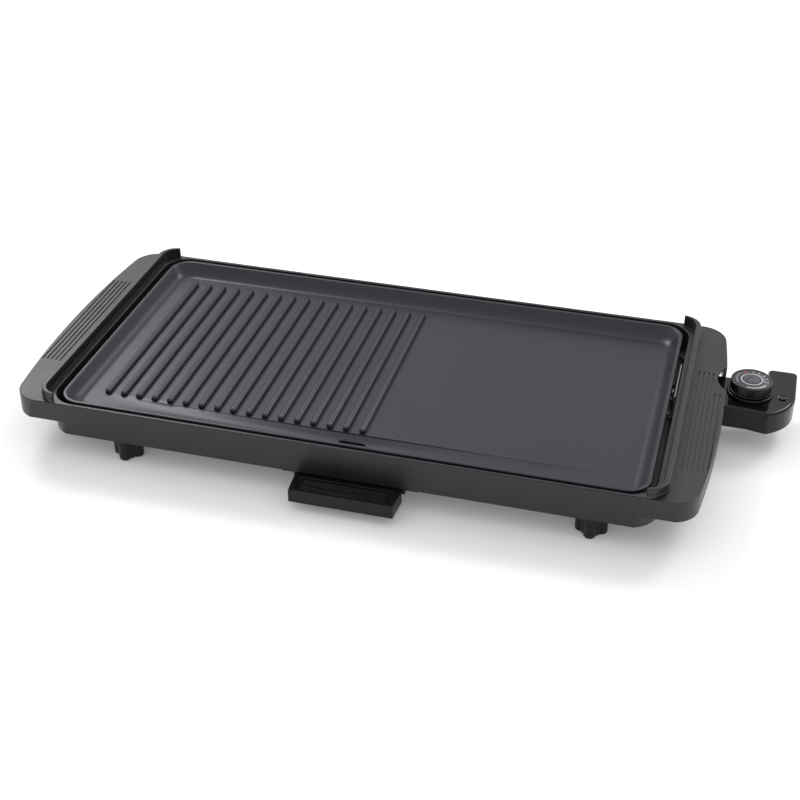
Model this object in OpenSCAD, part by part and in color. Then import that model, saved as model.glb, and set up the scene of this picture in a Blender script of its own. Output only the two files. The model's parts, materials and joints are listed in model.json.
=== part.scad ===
/* [Frame] */
// Length of the frame over both handles
frame_len = 580; // [480:1:700]
// Depth of the frame over its long walls
frame_dep = 275; // [230:1:330]
// Height of the ledge and handle tops above the table
rim_z = 52.5; // [50:0.5:63]
// Height of the lower edge of the frame walls above the table
wall_z = 22; // [21:0.5:24]
// Thickness of the long walls
frame_wall = 3; // [2.4:0.1:4]
// How far each long wall leans inwards towards its lower edge
wall_lean = 2.2; // [0:0.1:3]
// Corner radius of the tub below the handles
tub_corner_r = 28; // [20:1:34]
// Corner radius of the opening that holds the plate
opening_corner_r = 22; // [16:1:28]
// Thickness of the flange round the bottom of the frame
flange_t = 3; // [2:0.5:4]
// Width of the flange along the long walls
flange_side_w = 13; // [11:1:18]
// Width of the flange under each end
flange_end_w = 46; // [42:1:56]

/* [Handles] */
// Distance from the tub end to the outer edge of a handle
handle_reach = 36; // [30:1:46]
// Height of the handle skirt
handle_drop = 18.5; // [14:0.5:22]
// Thickness of the handle top and skirt
handle_wall = 3; // [2.4:0.1:4]
// Radius of the bowed outer edge of a handle
handle_bow_r = 1000; // [600:10:2000]
// Corner radius of a handle
handle_corner_r = 23; // [16:1:30]
// Distance from the long walls to the outer stiffening ribs under a handle
handle_rib_in = 42.5; // [38:0.5:50]
// Thickness of a stiffening rib under a handle
handle_rib_t = 2; // [1.5:0.1:3]
// Distance from the lower edge of the skirt up to the stiffening ribs
handle_rib_up = 4; // [2:0.5:7]
// Number of grip grooves on a handle
groove_count = 6; // [3:1:7]
// Spacing of the grip grooves
groove_pitch = 4; // [3:0.2:4.6]
// Width of a grip groove
groove_w = 1.2; // [0.8:0.1:1.8]
// Depth of a grip groove
groove_depth = 1; // [0.5:0.1:1.5]
// Length of the grip grooves
groove_len = 147; // [90:1:180]
// How far the right grooves are moved to the front
groove_shift = 16; // [0:1:24]

/* [Splash ridge] */
// Height of the ridge above the ledge
ridge_h = 9; // [5:0.5:14]
// Width of the ledge between the opening and the ridge
ledge_w = 3.5; // [3:0.1:6]
// Thickness of the ridge at its foot
ridge_t = 6; // [4:0.5:8]
// Height of the thicker foot of the ridge
ridge_step_h = 3.5; // [2:0.5:6]
// Depth of the step on the inner face of the ridge
ridge_step = 1.1; // [0.5:0.1:1.6]
// Distance that the ridge runs back along each long wall
ridge_return = 10.5; // [6:0.5:20]

/* [Griddle plate] */
// Gap between the plate rim and the opening at the ends
plate_gap_end = 5.5; // [4.5:0.1:8]
// Gap between the plate rim and the opening along the sides
plate_gap_side = 3.5; // [2:0.1:5]
// Depth from the rim to the cooking surface
plate_depth = 11; // [8:0.5:13]
// Thickness of the plate floor
plate_t = 5; // [4:0.1:6]
// Width of the flat rim
plate_rim_w = 3; // [2:0.1:5]
// Thickness of the rim lip
plate_lip_t = 3; // [2:0.1:4]
// How far each wall slopes inwards, without its fillet
plate_slope = 5; // [3:0.5:8]
// Size of the fillet at the foot of the walls
plate_fillet = 5.5; // [3:0.5:7]
// Height of the fillet at the foot of the walls
plate_fillet_h = 4; // [2:0.5:5]
// Diameter of the frame posts that the plate stands on
rest_d = 12; // [8:0.5:14]
// Distance from the plate end to the middle of a post
rest_in_x = 17; // [16:0.5:20]
// Distance from the plate side to the middle of a post
rest_in_y = 31; // [26:0.5:36]

/* [Ribs] */
// Spacing of the searing ribs
rib_pitch = 14; // [11:0.5:20]
// Radius of a rib
rib_r = 2.8; // [2:0.1:3.5]
// Height of a rib above the cooking surface
rib_h = 4; // [2.5:0.1:4]
// Distance from the left end of the floor to the first rib
rib_left_gap = 16.5; // [10:0.5:30]
// How far the ribbed field reaches past the middle of the plate
rib_past_middle = 9; // [-20:1:40]
// Distance from the back rim to the rib ends
rib_back_gap = 28.5; // [24:0.5:40]
// Distance from the front rim to the rib ends
rib_front_gap = 37.3; // [36:0.1:50]

/* [Gutter and drain] */
// Distance from the front rim to the back edge of the gutter
gutter_in = 33.5; // [32:0.5:36]
// Distance from the plate end to where the gutter starts
gutter_end = 30; // [24:1:60]
// Depth of the gutter at the drain
gutter_depth = 5; // [3:0.5:5]
// Distance from the back edge of the gutter to its lowest line
valley_in = 9; // [8:0.5:10]
// Distance that the drain spout reaches below the gutter
spout_drop = 3.5; // [2:0.5:4]
// Length of the drain slot
drain_len = 23; // [14:1:30]
// Width of the drain slot
drain_w = 5.2; // [4.5:0.1:8]
// Place of the drain along the frame, from the middle
drain_x = 3.4; // [-10:0.2:10]

/* [Feet] */
// Distance from the left end of the frame to the middle of the left feet
foot_in_left = 101; // [90:1:140]
// Distance from the right end of the frame to the middle of the right feet
foot_in_right = 87; // [80:1:140]
// Distance from the frame side to the middle of a foot
foot_in = 19; // [18:0.5:24]
// Radius of each of the four lobes of a foot
foot_lobe_r = 5; // [4:0.1:6]
// Distance from the middle of a foot to the middle of a lobe
foot_lobe_off = 8; // [6:0.1:9]

/* [Drip tray] */
// Place of the drip tray along the frame, from the middle
tray_x = 9; // [-5:0.5:20]
// Width of the grip at its back
grip_w = 89; // [70:1:110]
// How far the grip stands out in front of the frame
grip_out = 20.7; // [14:0.1:30]
// Height of the grip
grip_h = 11.7; // [9:0.1:12]
// Distance from the frame wall down to the grip
grip_gap = 1.2; // [0.8:0.1:2]
// Length of the tray behind the grip
tray_len = 64; // [50:1:90]
// Thickness of the tray walls
tray_wall = 1.8; // [1.2:0.1:2.5]
// Width of the sliding lip on each side of the tray
tray_lip = 3.4; // [2.4:0.2:5]
// Running clearance between the tray and its rails
tray_clear = 0.4; // [0.2:0.1:0.8]

/* [Heating] */
// Diameter of the element tube
tube_d = 6.5; // [5:0.1:7]
// Gap between the element and the plate
tube_gap = 0.25; // [0.2:0.05:1]
// Radius of the three wide element turns
turn_r = 29.5; // [20:0.5:32]
// Radius of the small element bends
bend_r = 14; // [10:0.5:14]
// Distance from the left end of the plate to the element turns
turn_in_left = 55; // [45:1:80]
// Distance from the right end of the plate to the element turn
turn_in_right = 125; // [115:1:150]
// Thickness of the terminal block
block_t = 12; // [9:0.5:14]
// Width of the terminal guard
guard_w = 54; // [52:1:60]
// Distance of the pan screws from the middle
pan_screw_x = 110; // [100:1:140]
// Thickness of the bottom pan
pan_t = 1; // [0.6:0.1:1.2]
// Spacing of the two terminal pins
pin_gap = 26; // [22:1:30]
// Diameter of a terminal pin
pin_d = 4; // [3:0.1:5]
// Radial clearance of a socket round its pin
pin_clear = 0.05; // [0.02:0.01:0.1]
// Diameter of the sensor probe
probe_d = 5.5; // [4:0.1:6]
// Length of the probe past the nose of the control
probe_len = 80; // [60:1:100]
// Gap on each side of the probe in its guide
probe_clear = 0.4; // [0.3:0.05:0.8]
// Gap between the tabs of the probe guide and the element leads
guide_clear = 0.4; // [0.3:0.05:0.6]
// How far the probe's guide runs past the tip of the probe
guide_past_tip = 4; // [2:0.5:14]

/* [Control] */
// Place of the control across the frame, from the middle
control_y = 50; // [30:1:60]
// Width of the control arm
arm_w = 49.5; // [46:0.5:56]
// Height of the control housing
arm_h = 20; // [18:0.5:20]
// Height of the plug's axis above the underside of the control
arm_under_axis = 11.5; // [11:0.1:12]
// Distance from the handle edge to the dial axis
knob_out = 19; // [18:0.5:30]
// How far the dial axis lies behind the middle of the arm
knob_back = 3; // [0:0.5:4]
// Distance from the dial axis to the outer side of the control
wing_out = 38.3; // [34:0.1:46]
// Width of the grip wing
wing_w = 25; // [22:0.5:30]
// Distance from the dial axis to the back of the wing
wing_back = 44; // [36:0.5:56]
// Radius of the curved front of the wing
wing_r = 40.7; // [38:0.1:44]
// Wall thickness of the control housing
shell_t = 2.2; // [1.6:0.1:2.4]
// Width of the plug-in nose
nose_w = 38; // [36:0.5:42]
// Height of the plug-in nose
nose_h = 12; // [11:0.5:12]
// Clearance between the control arm and the handle skirt
bay_clear = 1.5; // [1:0.1:2.5]
// Diameter of the cord inlet bore
inlet_d = 7; // [5:0.1:8]

/* [Dial] */
// Diameter of the dial
knob_d = 34.6; // [28:0.2:38]
// Height of the dial
knob_h = 9.9; // [8:0.1:14]
// Number of grip flutes round the dial
knob_flutes = 48; // [24:1:60]
// Depth of a grip flute
flute_depth = 0.4; // [0.2:0.1:0.8]
// Height of the collar under the dial
collar_h = 3; // [2:0.5:5]
// Diameter of the dial shaft
shaft_d = 6; // [4:0.1:7]
// Radial clearance of the shaft in its bush
shaft_clear = 0.05; // [0.02:0.01:0.1]
// Clearance round the dial in the handle notch
notch_clear = 11; // [5:0.5:12]

/* [Fasteners] */
// Diameter of the frame screws
screw_d = 3; // [2.5:0.1:3.2]
// Head diameter of the frame screws
head_d = 6; // [5:0.1:6.2]
// Head height of the screws
head_h = 1.8; // [1.4:0.1:2]
// Diameter of the small screws and rivets
fine_d = 2.5; // [2:0.1:2.6]

/* [Hidden] */
$fn = 48;
eps = 0.01;

half_len = frame_len / 2;
half_dep = frame_dep / 2;
tub_x = half_len - handle_reach;
open_x = tub_x - ledge_w;
open_y = half_dep - frame_wall;
flange_z = wall_z + flange_t;
skirt_z = rim_z - handle_drop;
ridge_top_z = rim_z + ridge_h;
ridge_x = tub_x + ridge_t;
handle_rib_end = half_dep - handle_rib_in;
handle_rib_y = concat([for (i = [0 : 2]) -handle_rib_end * (1 - i / 2)], [handle_rib_end]);

plate_x = open_x - plate_gap_end;
plate_y = open_y - plate_gap_side;
plate_r = opening_corner_r - plate_gap_side;
floor_z = rim_z - plate_depth;
under_z = floor_z - plate_t;
floor_x = plate_x - plate_rim_w - plate_slope - plate_fillet;
floor_y = plate_y - plate_rim_w - plate_slope - plate_fillet;
rest_x = plate_x - rest_in_x;
rest_y = plate_y - rest_in_y;
rib_y_back = plate_y - rib_back_gap;
rib_y_front = -plate_y + rib_front_gap;
rib_x_left = -floor_x + rib_left_gap;
rib_count = floor((rib_past_middle - rib_x_left) / rib_pitch) + 1;
gutter_y = -plate_y + gutter_in;
gutter_x = plate_x - gutter_end;
valley_y = gutter_y - valley_in;
drain_y = valley_y - 0.5;
spout_z = under_z - gutter_depth - spout_drop;

pan_z = flange_z;
pan_top = pan_z + pan_t;
element_z = under_z - tube_gap - tube_d / 2;
axis_z = element_z;
arm_z = axis_z - arm_under_axis;
turn_left = -(plate_x - turn_in_left);
turn_right = plate_x - turn_in_right;
pin_y = [control_y - pin_gap / 2, control_y + pin_gap / 2];
run_y = [for (i = [0 : 3]) pin_y[1] + 2 * bend_r - i * 2 * turn_r];
block_x = plate_x - 19;
block_w = pin_gap + 12;
nose_past_wall = 4.5;
body_gap = 8;
nose_x = open_x - nose_past_wall;
body_x = tub_x + body_gap;
pin_end = body_x;
guard_x = open_x - 2.5;
guard_t = 1.2;
guard_y = control_y - 32;
guard_foot_w = guard_x - block_x - block_t - 0.5;
guard_screw_y = [guard_y + 4, guard_y + guard_w - 4];

knob_x = half_len + knob_out;
knob_y = control_y + knob_back;
arm_top = arm_z + arm_h;
split_z = arm_z + arm_h / 2;
arm_front = control_y - arm_w / 2;
arm_back = control_y + arm_w / 2;
wing_x = knob_x + wing_out;
wing_end = knob_y + wing_back;
collar_top = arm_top + collar_h;
knob_z = collar_top + 0.4;
knob_top = knob_z + knob_h;
face_r = knob_d / 2 - 2;
face_t = 0.7;
collar_r = knob_d / 2 + 2;
lens_out = 27.5;
lens_at = [knob_x + lens_out, knob_y - 2];
grommet_x = wing_x - wing_w / 2;
grommet_d = inlet_d + 4;
grommet_len = 10;
post_in = 13;
post_side = 6.2;
post_back = 17;
post_xy = [[body_x + post_in, arm_front + post_side], [body_x + post_in, arm_back - post_side],
    [wing_x - post_side, knob_y + post_back]];
post_d = 6.4;
stack_x = body_x + 15;
stack_w = 9;
blade_t = 0.7;
blade_gap = 2.6;
blade_len = knob_x + 6 - stack_x;
blade_low = split_z - 4.5;
blade_high = blade_low + blade_t + blade_gap;

grip_top = wall_z - grip_gap;
grip_front = -half_dep - grip_out;
grip_back = -half_dep + wall_lean;
grip_z = grip_top - grip_h;
tray_half = grip_w / 2 - 5;
tray_top = grip_top - 0.6;
lip_t = 1.8;
rail_in = tray_half + tray_lip + tray_clear;
rail_t = 3;
rail_front = -half_dep + wall_lean + 1.8;
rail_back = grip_back + tray_len;

foot_xy = [for (sy = [-1, 1], x = [foot_in_left - half_len, half_len - foot_in_right])
    [x, sy * (half_dep - foot_in)]];
boss_d = 9;
boss_h = 5;
rest_xy = [for (sx = [-1, 1], sy = [-1, 1]) [sx * rest_x, sy * rest_y]];
end_screw_in = 30;
end_screw_y = -15;
pan_screw_xy = concat([for (sx = [-1, 1], sy = [-1, 1]) [sx * pan_screw_x, sy * (half_dep - 11)]],
    [for (sx = [-1, 1]) [sx * (open_x - end_screw_in), end_screw_y]]);
bracket_x = [-0.42 * plate_x, 0.25 * plate_x];
rail_screw_y = [rail_front + 5, rail_back - 6];
rail_screw_x = rail_in + rail_t + 5;
guide_x1 = block_x - 4;
guide_x0 = nose_x - probe_len - guide_past_tip;
guide_in = probe_d / 2 + probe_clear;
guide_t = 1.2;
guide_h = 6;
guide_screw_in = 8;
guide_tab = pin_gap / 2 - tube_d / 2 - guide_in - guide_t - guide_clear;
guide_screw_y = guide_in + guide_t + guide_tab / 2;

// The origin lies under the middle of the whole object's box
origin_x = (wing_x - half_len) / 2;
origin_y = (half_dep + grip_front) / 2;

module placed() {
    translate([-origin_x, -origin_y, 0]) children();
}

function arc(cx, cy, r, a0, a1, n = 8) =
    [for (i = [0 : n]) let (a = a0 + (a1 - a0) * i / n) [cx + r * cos(a), cy + r * sin(a)]];

function rounded(hx, hy, r) = concat(
    arc(hx - r, hy - r, r, 0, 90), arc(r - hx, hy - r, r, 90, 180),
    arc(r - hx, r - hy, r, 180, 270), arc(hx - r, r - hy, r, 270, 360));

// Outline of the frame over the bowed handles, moved inwards by inset
function handle_outline(inset) = let (
    turn = asin((half_dep - handle_corner_r) / (handle_bow_r - handle_corner_r)),
    bow_x = half_len - handle_bow_r,
    cx = bow_x + (handle_bow_r - handle_corner_r) * cos(turn),
    cy = half_dep - handle_corner_r,
    right = concat(arc(cx, -cy, handle_corner_r - inset, -90, -turn),
        arc(bow_x, 0, handle_bow_r - inset, -turn, turn, 12),
        arc(cx, cy, handle_corner_r - inset, turn, 90)))
    concat(right, [for (p = right) [-p[0], -p[1]]]);

module slab(points, z0, z1) {
    translate([0, 0, z0]) linear_extrude(height = z1 - z0) polygon(points);
}

// Long prism with leaning sides that trims everything between the long walls
module wall_prism(inset, z0, z1) {
    top_y = half_dep - inset;
    low_y = top_y - wall_lean;
    rotate([90, 0, 90]) linear_extrude(height = frame_len + 20, center = true)
        polygon([[-low_y, z0], [low_y, z0], [top_y, z1], [-top_y, z1]]);
}

module slot(len, wide, tall) {
    translate([-len / 2, -wide / 2, 0]) cube([len, wide, tall]);
    for (s = [-1, 1]) translate([s * len / 2, 0, 0]) cylinder(h = tall, d = wide);
}

// ---------- frame ----------

module frame_shell() {
    difference() {
        intersection() {
            union() {
                slab(rounded(tub_x, half_dep, tub_corner_r), wall_z, rim_z);
                slab(handle_outline(0), skirt_z, rim_z);
            }
            wall_prism(0, wall_z, rim_z);
        }
        intersection() {
            slab(rounded(open_x, open_y, opening_corner_r), wall_z - 1, rim_z + 1);
            wall_prism(frame_wall, wall_z - 1, rim_z + 1);
        }
        difference() {
            intersection() {
                slab(handle_outline(handle_wall), skirt_z - 1, rim_z - handle_wall);
                wall_prism(frame_wall, wall_z, rim_z);
            }
            slab(rounded(tub_x, half_dep, tub_corner_r), skirt_z - 2, rim_z);
        }
    }
}

module frame_flange() {
    difference() {
        union() {
            difference() {
                slab(rounded(tub_x - 1, open_y - wall_lean + 1, tub_corner_r - 1), wall_z, flange_z);
                slab(rounded(open_x - flange_end_w, open_y - flange_side_w, 10), wall_z - 1, flange_z + 1);
            }
            for (p = foot_xy) translate([p[0], p[1], wall_z]) {
                cylinder(h = flange_t, r = foot_lobe_off + foot_lobe_r + 1);
                cylinder(h = flange_t + boss_h, d = boss_d);
            }
            for (p = rest_xy) translate([p[0], p[1], wall_z]) cylinder(h = under_z - wall_z, d = rest_d);
        }
        for (p = foot_xy) translate([p[0], p[1], wall_z - 1]) cylinder(h = flange_t + boss_h, d = screw_d);
        for (p = pan_screw_xy) translate([p[0], p[1], wall_z - 1]) cylinder(h = flange_t + 2, d = screw_d);
        for (s = [-1, 1]) translate([tray_x + s * rail_screw_x, rail_screw_y[0], wall_z - 1])
            cylinder(h = flange_t + 2, d = screw_d);
    }
}

module splash_ridge(side) {
    base_in = rounded(tub_x, open_y, tub_corner_r / 2);
    top_in = rounded(tub_x + ridge_step, open_y + ridge_step / 2, tub_corner_r / 2);
    corner = tub_corner_r / 2 + 3;
    keep_x = tub_x - ridge_return;
    intersection() {
        difference() {
            union() {
                slab(rounded(ridge_x, half_dep - eps, corner), rim_z - 1, rim_z + ridge_step_h);
                slab(rounded(ridge_x - 0.6, half_dep - 0.4, corner), rim_z, ridge_top_z);
            }
            slab(base_in, rim_z - 2, rim_z + ridge_step_h);
            slab(top_in, rim_z - 2, ridge_top_z + 1);
        }
        translate([side > 0 ? keep_x : -keep_x - 60, -half_dep, rim_z - 2])
            cube([60, frame_dep, ridge_h + 4]);
    }
}

module grip_grooves(side) {
    mid = side > 0 ? -groove_shift : 0;
    first = ridge_x + 5;
    notch_front = knob_y - knob_d / 2 - notch_clear + 1;
    for (i = [0 : groove_count - 1]) {
        reach = mid + groove_len / 2;
        back = side > 0 && i >= groove_count - 2 ? min(reach, notch_front) : reach;
        front = mid - groove_len / 2;
        translate([side * (first + i * groove_pitch), (front + back) / 2, rim_z - groove_depth])
            rotate([0, 0, 90]) slot(back - front, groove_w, groove_depth + 1);
    }
}

// Stiffening ribs between the tub and the underside of each handle
module handle_ribs() {
    inner = tub_x - 1;
    outer = half_len - handle_wall - 5;
    tall = handle_drop - handle_wall - handle_rib_up + eps;
    for (s = [-1, 1], y = handle_rib_y)
        translate([s > 0 ? inner : -outer, y - handle_rib_t / 2, skirt_z + handle_rib_up])
            cube([outer - inner, handle_rib_t, tall]);
}

module base_frame() {
    color("#3a3d40") placed() difference() {
        union() {
            frame_shell();
            handle_ribs();
            frame_flange();
            splash_ridge(1);
            splash_ridge(-1);
        }
        grip_grooves(1);
        grip_grooves(-1);
        translate([knob_x, knob_y, skirt_z - 1]) cylinder(h = handle_drop + 2, d = knob_d + 2 * notch_clear);
        translate([tub_x + 1, arm_front - bay_clear, arm_z - 1])
            cube([handle_reach + 10, arm_w + 2 * bay_clear, arm_h + 2]);
        translate([open_x - 1, control_y - nose_w / 2 - bay_clear, axis_z - nose_h / 2 - 1])
            cube([ledge_w + 2, nose_w + 2 * bay_clear, nose_h + 2]);
    }
}

module bottom_pan() {
    color("#b9bcbe") placed() difference() {
        slab(rounded(open_x - 4, open_y - wall_lean - 3, opening_corner_r - 3), pan_z, pan_top);
        for (p = rest_xy) translate([p[0], p[1], pan_z - 1]) cylinder(h = pan_t + 2, d = rest_d + 1);
        for (p = foot_xy) translate([p[0], p[1], pan_z - 1]) cylinder(h = pan_t + 2, d = boss_d + 1);
        for (p = pan_screw_xy) translate([p[0], p[1], pan_z - 1]) cylinder(h = pan_t + 2, d = screw_d);
        translate([drain_x, drain_y, pan_z - 1]) slot(drain_len + 6, 16, pan_t + 2);
        for (s = [-1, 1]) translate([tray_x + s * rail_screw_x, rail_screw_y[1], pan_z - 1])
            cylinder(h = pan_t + 2, d = screw_d);
    }
}

// Pan-head screw with its head seat at z = 0 and its shank pointing down
module screw(len, d = screw_d) {
    translate([0, 0, -len]) cylinder(h = len + eps, d = d);
    difference() {
        cylinder(h = head_h, d = head_d * d / screw_d);
        translate([-head_d, -0.4, head_h - 0.8]) cube([2 * head_d, 0.8, 1]);
    }
}

module pan_screws() {
    color("silver") placed() for (p = pan_screw_xy) translate([p[0], p[1], pan_top])
        screw(pan_t + flange_t - 0.2);
}

// ---------- feet ----------

module foot(at) {
    difference() {
        translate([at[0], at[1], 0]) union() {
            cylinder(h = wall_z, r = foot_lobe_off - 0.5);
            for (a = [0 : 90 : 270]) rotate([0, 0, a]) translate([foot_lobe_off, 0, 0]) {
                translate([0, 0, 1.5]) cylinder(h = wall_z - 1.5, r = foot_lobe_r);
                cylinder(h = 1.5 + eps, r1 = foot_lobe_r - 1.2, r2 = foot_lobe_r);
            }
        }
        translate([at[0], at[1], -1]) cylinder(h = wall_z + 2, d = screw_d + 0.4);
        translate([at[0], at[1], -1]) cylinder(h = wall_z - 7, d = head_d + 1);
    }
}

module foot_front_left() { color("#26282a") placed() foot(foot_xy[0]); }

module foot_front_right() { color("#26282a") placed() foot(foot_xy[1]); }

module foot_back_left() { color("#26282a") placed() foot(foot_xy[2]); }

module foot_back_right() { color("#26282a") placed() foot(foot_xy[3]); }

module foot_screws() {
    color("silver") placed() for (p = foot_xy) translate([p[0], p[1], wall_z - 8])
        mirror([0, 0, 1]) screw(8 + flange_t + boss_h - 2);
}

// ---------- heating ----------

module tube_x(x0, x1, y, d, z) {
    translate([min(x0, x1), y, z]) rotate([0, 90, 0]) cylinder(h = abs(x1 - x0), d = d);
}

module tube_bend(cx, cy, r, from, sweep) {
    translate([cx, cy, element_z]) rotate([0, 0, from]) rotate_extrude(angle = sweep)
        translate([r, 0]) circle(d = tube_d);
}

module heating_element() {
    lead_x = block_x - 21;
    riser_x = block_x - bend_r - 12;
    color("#8d8f90") placed() union() {
        tube_x(lead_x, block_x, pin_y[1], tube_d, element_z);
        tube_bend(lead_x, pin_y[1] + bend_r, bend_r, 180, 90);
        tube_bend(lead_x - 2 * bend_r, run_y[0] - bend_r, bend_r, 0, 90);
        tube_x(turn_left, lead_x - 2 * bend_r, run_y[0], tube_d, element_z);
        tube_bend(turn_left, run_y[0] - turn_r, turn_r, 90, 180);
        tube_x(turn_left, turn_right, run_y[1], tube_d, element_z);
        tube_bend(turn_right, run_y[1] - turn_r, turn_r, -90, 180);
        tube_x(turn_left, turn_right, run_y[2], tube_d, element_z);
        tube_bend(turn_left, run_y[2] - turn_r, turn_r, 90, 180);
        tube_x(turn_left, riser_x - bend_r, run_y[3], tube_d, element_z);
        tube_bend(riser_x - bend_r, run_y[3] + bend_r, bend_r, -90, 90);
        translate([riser_x, run_y[3] + bend_r, element_z]) rotate([-90, 0, 0])
            cylinder(h = pin_y[0] - run_y[3] - 2 * bend_r, d = tube_d);
        tube_bend(riser_x + bend_r, pin_y[0] - bend_r, bend_r, 90, 90);
        tube_x(riser_x + bend_r, block_x, pin_y[0], tube_d, element_z);
    }
}

// Strap across two neighbouring runs of the element, with a cradle under each
module element_bracket(x, row) {
    y0 = run_y[row + 1];
    y1 = run_y[row];
    wide = 10;
    difference() {
        union() {
            translate([x - wide / 2, y0 - 5, pan_top]) cube([wide, y1 - y0 + 10, 1.2]);
            for (y = [y0, y1]) translate([x - wide / 2, y - 4, pan_top]) cube([wide, 8, element_z - pan_top]);
        }
        for (y = [y0, y1]) tube_x(x - wide, x + wide, y, tube_d, element_z);
        translate([x, (y0 + y1) / 2, pan_top - 1]) cylinder(h = 4, d = screw_d);
    }
}

module element_bracket_1() { color("#a3a6a8") placed() element_bracket(bracket_x[0], 0); }

module element_bracket_2() { color("#a3a6a8") placed() element_bracket(bracket_x[1], 0); }

module element_bracket_3() { color("#a3a6a8") placed() element_bracket(bracket_x[0], 2); }

module element_bracket_4() { color("#a3a6a8") placed() element_bracket(bracket_x[1], 2); }

module bracket_screws() {
    color("silver") placed() for (x = bracket_x, row = [0, 2])
        translate([x, (run_y[row] + run_y[row + 1]) / 2, pan_top + 1.2]) screw(1.2 - eps);
}

module terminal_block() {
    color("#e8e4da") placed() difference() {
        translate([block_x, control_y - block_w / 2, pan_top])
            cube([block_t, block_w, under_z - 0.4 - pan_top]);
        translate([block_x - 1, control_y - probe_d, axis_z - probe_d])
            cube([block_t + 2, 2 * probe_d, 2 * probe_d]);
        for (y = pin_y) tube_x(block_x - 1, block_x + block_t + 1, y, pin_d, axis_z);
    }
}

module terminal_pin(y) {
    tip = pin_d / 4;
    tube_x(block_x, pin_end - tip, y, pin_d, axis_z);
    translate([pin_end - tip, y, axis_z]) rotate([0, 90, 0]) cylinder(h = tip, d1 = pin_d, d2 = pin_d / 2);
}

module terminal_pin_front() { color("#c9a85c") placed() terminal_pin(pin_y[0]); }

module terminal_pin_back() { color("#c9a85c") placed() terminal_pin(pin_y[1]); }

module terminal_guard() {
    color("#6c6f72") placed() difference() {
        translate([guard_x, guard_y, 0]) union() {
            translate([0, 0, pan_top]) cube([guard_t, guard_w, rim_z - 4 - pan_top]);
            translate([-guard_foot_w, 0, pan_top]) cube([guard_foot_w + eps, guard_w, guard_t]);
        }
        translate([nose_x - 1, control_y - nose_w / 2 - bay_clear, axis_z - nose_h / 2 - 1])
            cube([guard_x + guard_t + 2 - nose_x, nose_w + 2 * bay_clear, nose_h + 2]);
        for (y = guard_screw_y) translate([guard_x - guard_foot_w / 2, y, pan_top - 1])
            cylinder(h = guard_t + 2, d = fine_d);
    }
}

module guard_screws() {
    color("silver") placed() for (y = guard_screw_y)
        translate([guard_x - guard_foot_w / 2, y, pan_top + guard_t]) screw(guard_t - eps, fine_d);
}

// ---------- griddle plate ----------

// Convex body through a few corner points
module wedge(points) {
    hull() for (p = points) translate(p) cube(0.02, center = true);
}

module layered(layers) {
    hull() for (l = layers) translate([0, 0, l[3]]) linear_extrude(height = 0.02)
        polygon(rounded(l[0], l[1], l[2]));
}

module plate_body() {
    in_x = plate_x - plate_rim_w;
    in_y = plate_y - plate_rim_w;
    mid_z = floor_z + plate_fillet_h;
    slab(rounded(plate_x, plate_y, plate_r), rim_z - plate_lip_t, rim_z);
    layered([[plate_x - 1, plate_y - 1, plate_r, rim_z - 1],
        [in_x - plate_slope + 3, in_y - plate_slope + 3, plate_r - 4, mid_z - 1],
        [floor_x + 2, floor_y + 2, plate_r - 8, under_z]]);
}

module plate_well() {
    in_x = plate_x - plate_rim_w;
    in_y = plate_y - plate_rim_w;
    layered([[in_x, in_y, plate_r - 2, rim_z + 0.01],
        [in_x - plate_slope, in_y - plate_slope, plate_r - 5, floor_z + plate_fillet_h],
        [floor_x, floor_y, plate_r - 8, floor_z]]);
}

module gutter_cut(s) {
    low = -floor_y + 1;
    wedge([[s * gutter_x, gutter_y, floor_z + 0.1], [s * gutter_x, low, floor_z + 0.1],
        [drain_x, gutter_y, floor_z + 0.1], [drain_x, low, floor_z + 0.1],
        [drain_x, valley_y + 4.5, floor_z - gutter_depth * 0.6], [drain_x, valley_y, floor_z - gutter_depth],
        [drain_x, low, floor_z - gutter_depth + 2]]);
}

module gutter_belly(s) {
    top = under_z + 0.5;
    back = gutter_y + 5;
    low = -floor_y + 1;
    wedge([[s * gutter_x, back, top], [s * gutter_x, low, top], [drain_x, back, top], [drain_x, low, top],
        [drain_x, back - 5, under_z - gutter_depth + 0.5], [drain_x, low, under_z - gutter_depth + 0.5]]);
}

module rib_bar(x) {
    z = floor_z + rib_h - rib_r;
    translate([x, rib_y_front, z]) rotate([-90, 0, 0]) cylinder(h = rib_y_back - rib_y_front, r = rib_r);
    for (y = [rib_y_front, rib_y_back]) translate([x, y, z]) sphere(r = rib_r);
}

module griddle_plate() {
    color("#4a4b4d") placed() difference() {
        union() {
            difference() {
                union() {
                    plate_body();
                    gutter_belly(1);
                    gutter_belly(-1);
                }
                plate_well();
                gutter_cut(1);
                gutter_cut(-1);
            }
            for (i = [0 : rib_count - 1]) rib_bar(rib_x_left + i * rib_pitch);
            translate([drain_x, drain_y, spout_z]) slot(drain_len - 2, drain_w + 4, 4);
        }
        translate([drain_x, drain_y, spout_z - 1]) slot(drain_len - drain_w, drain_w, floor_z - spout_z);
        for (x = [guide_x0 + guide_screw_in, guide_x1 - guide_screw_in], s = [-1, 1])
            translate([x, control_y + s * guide_screw_y, under_z - 1])
                cylinder(h = 4.5, d = fine_d);
    }
}

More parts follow.
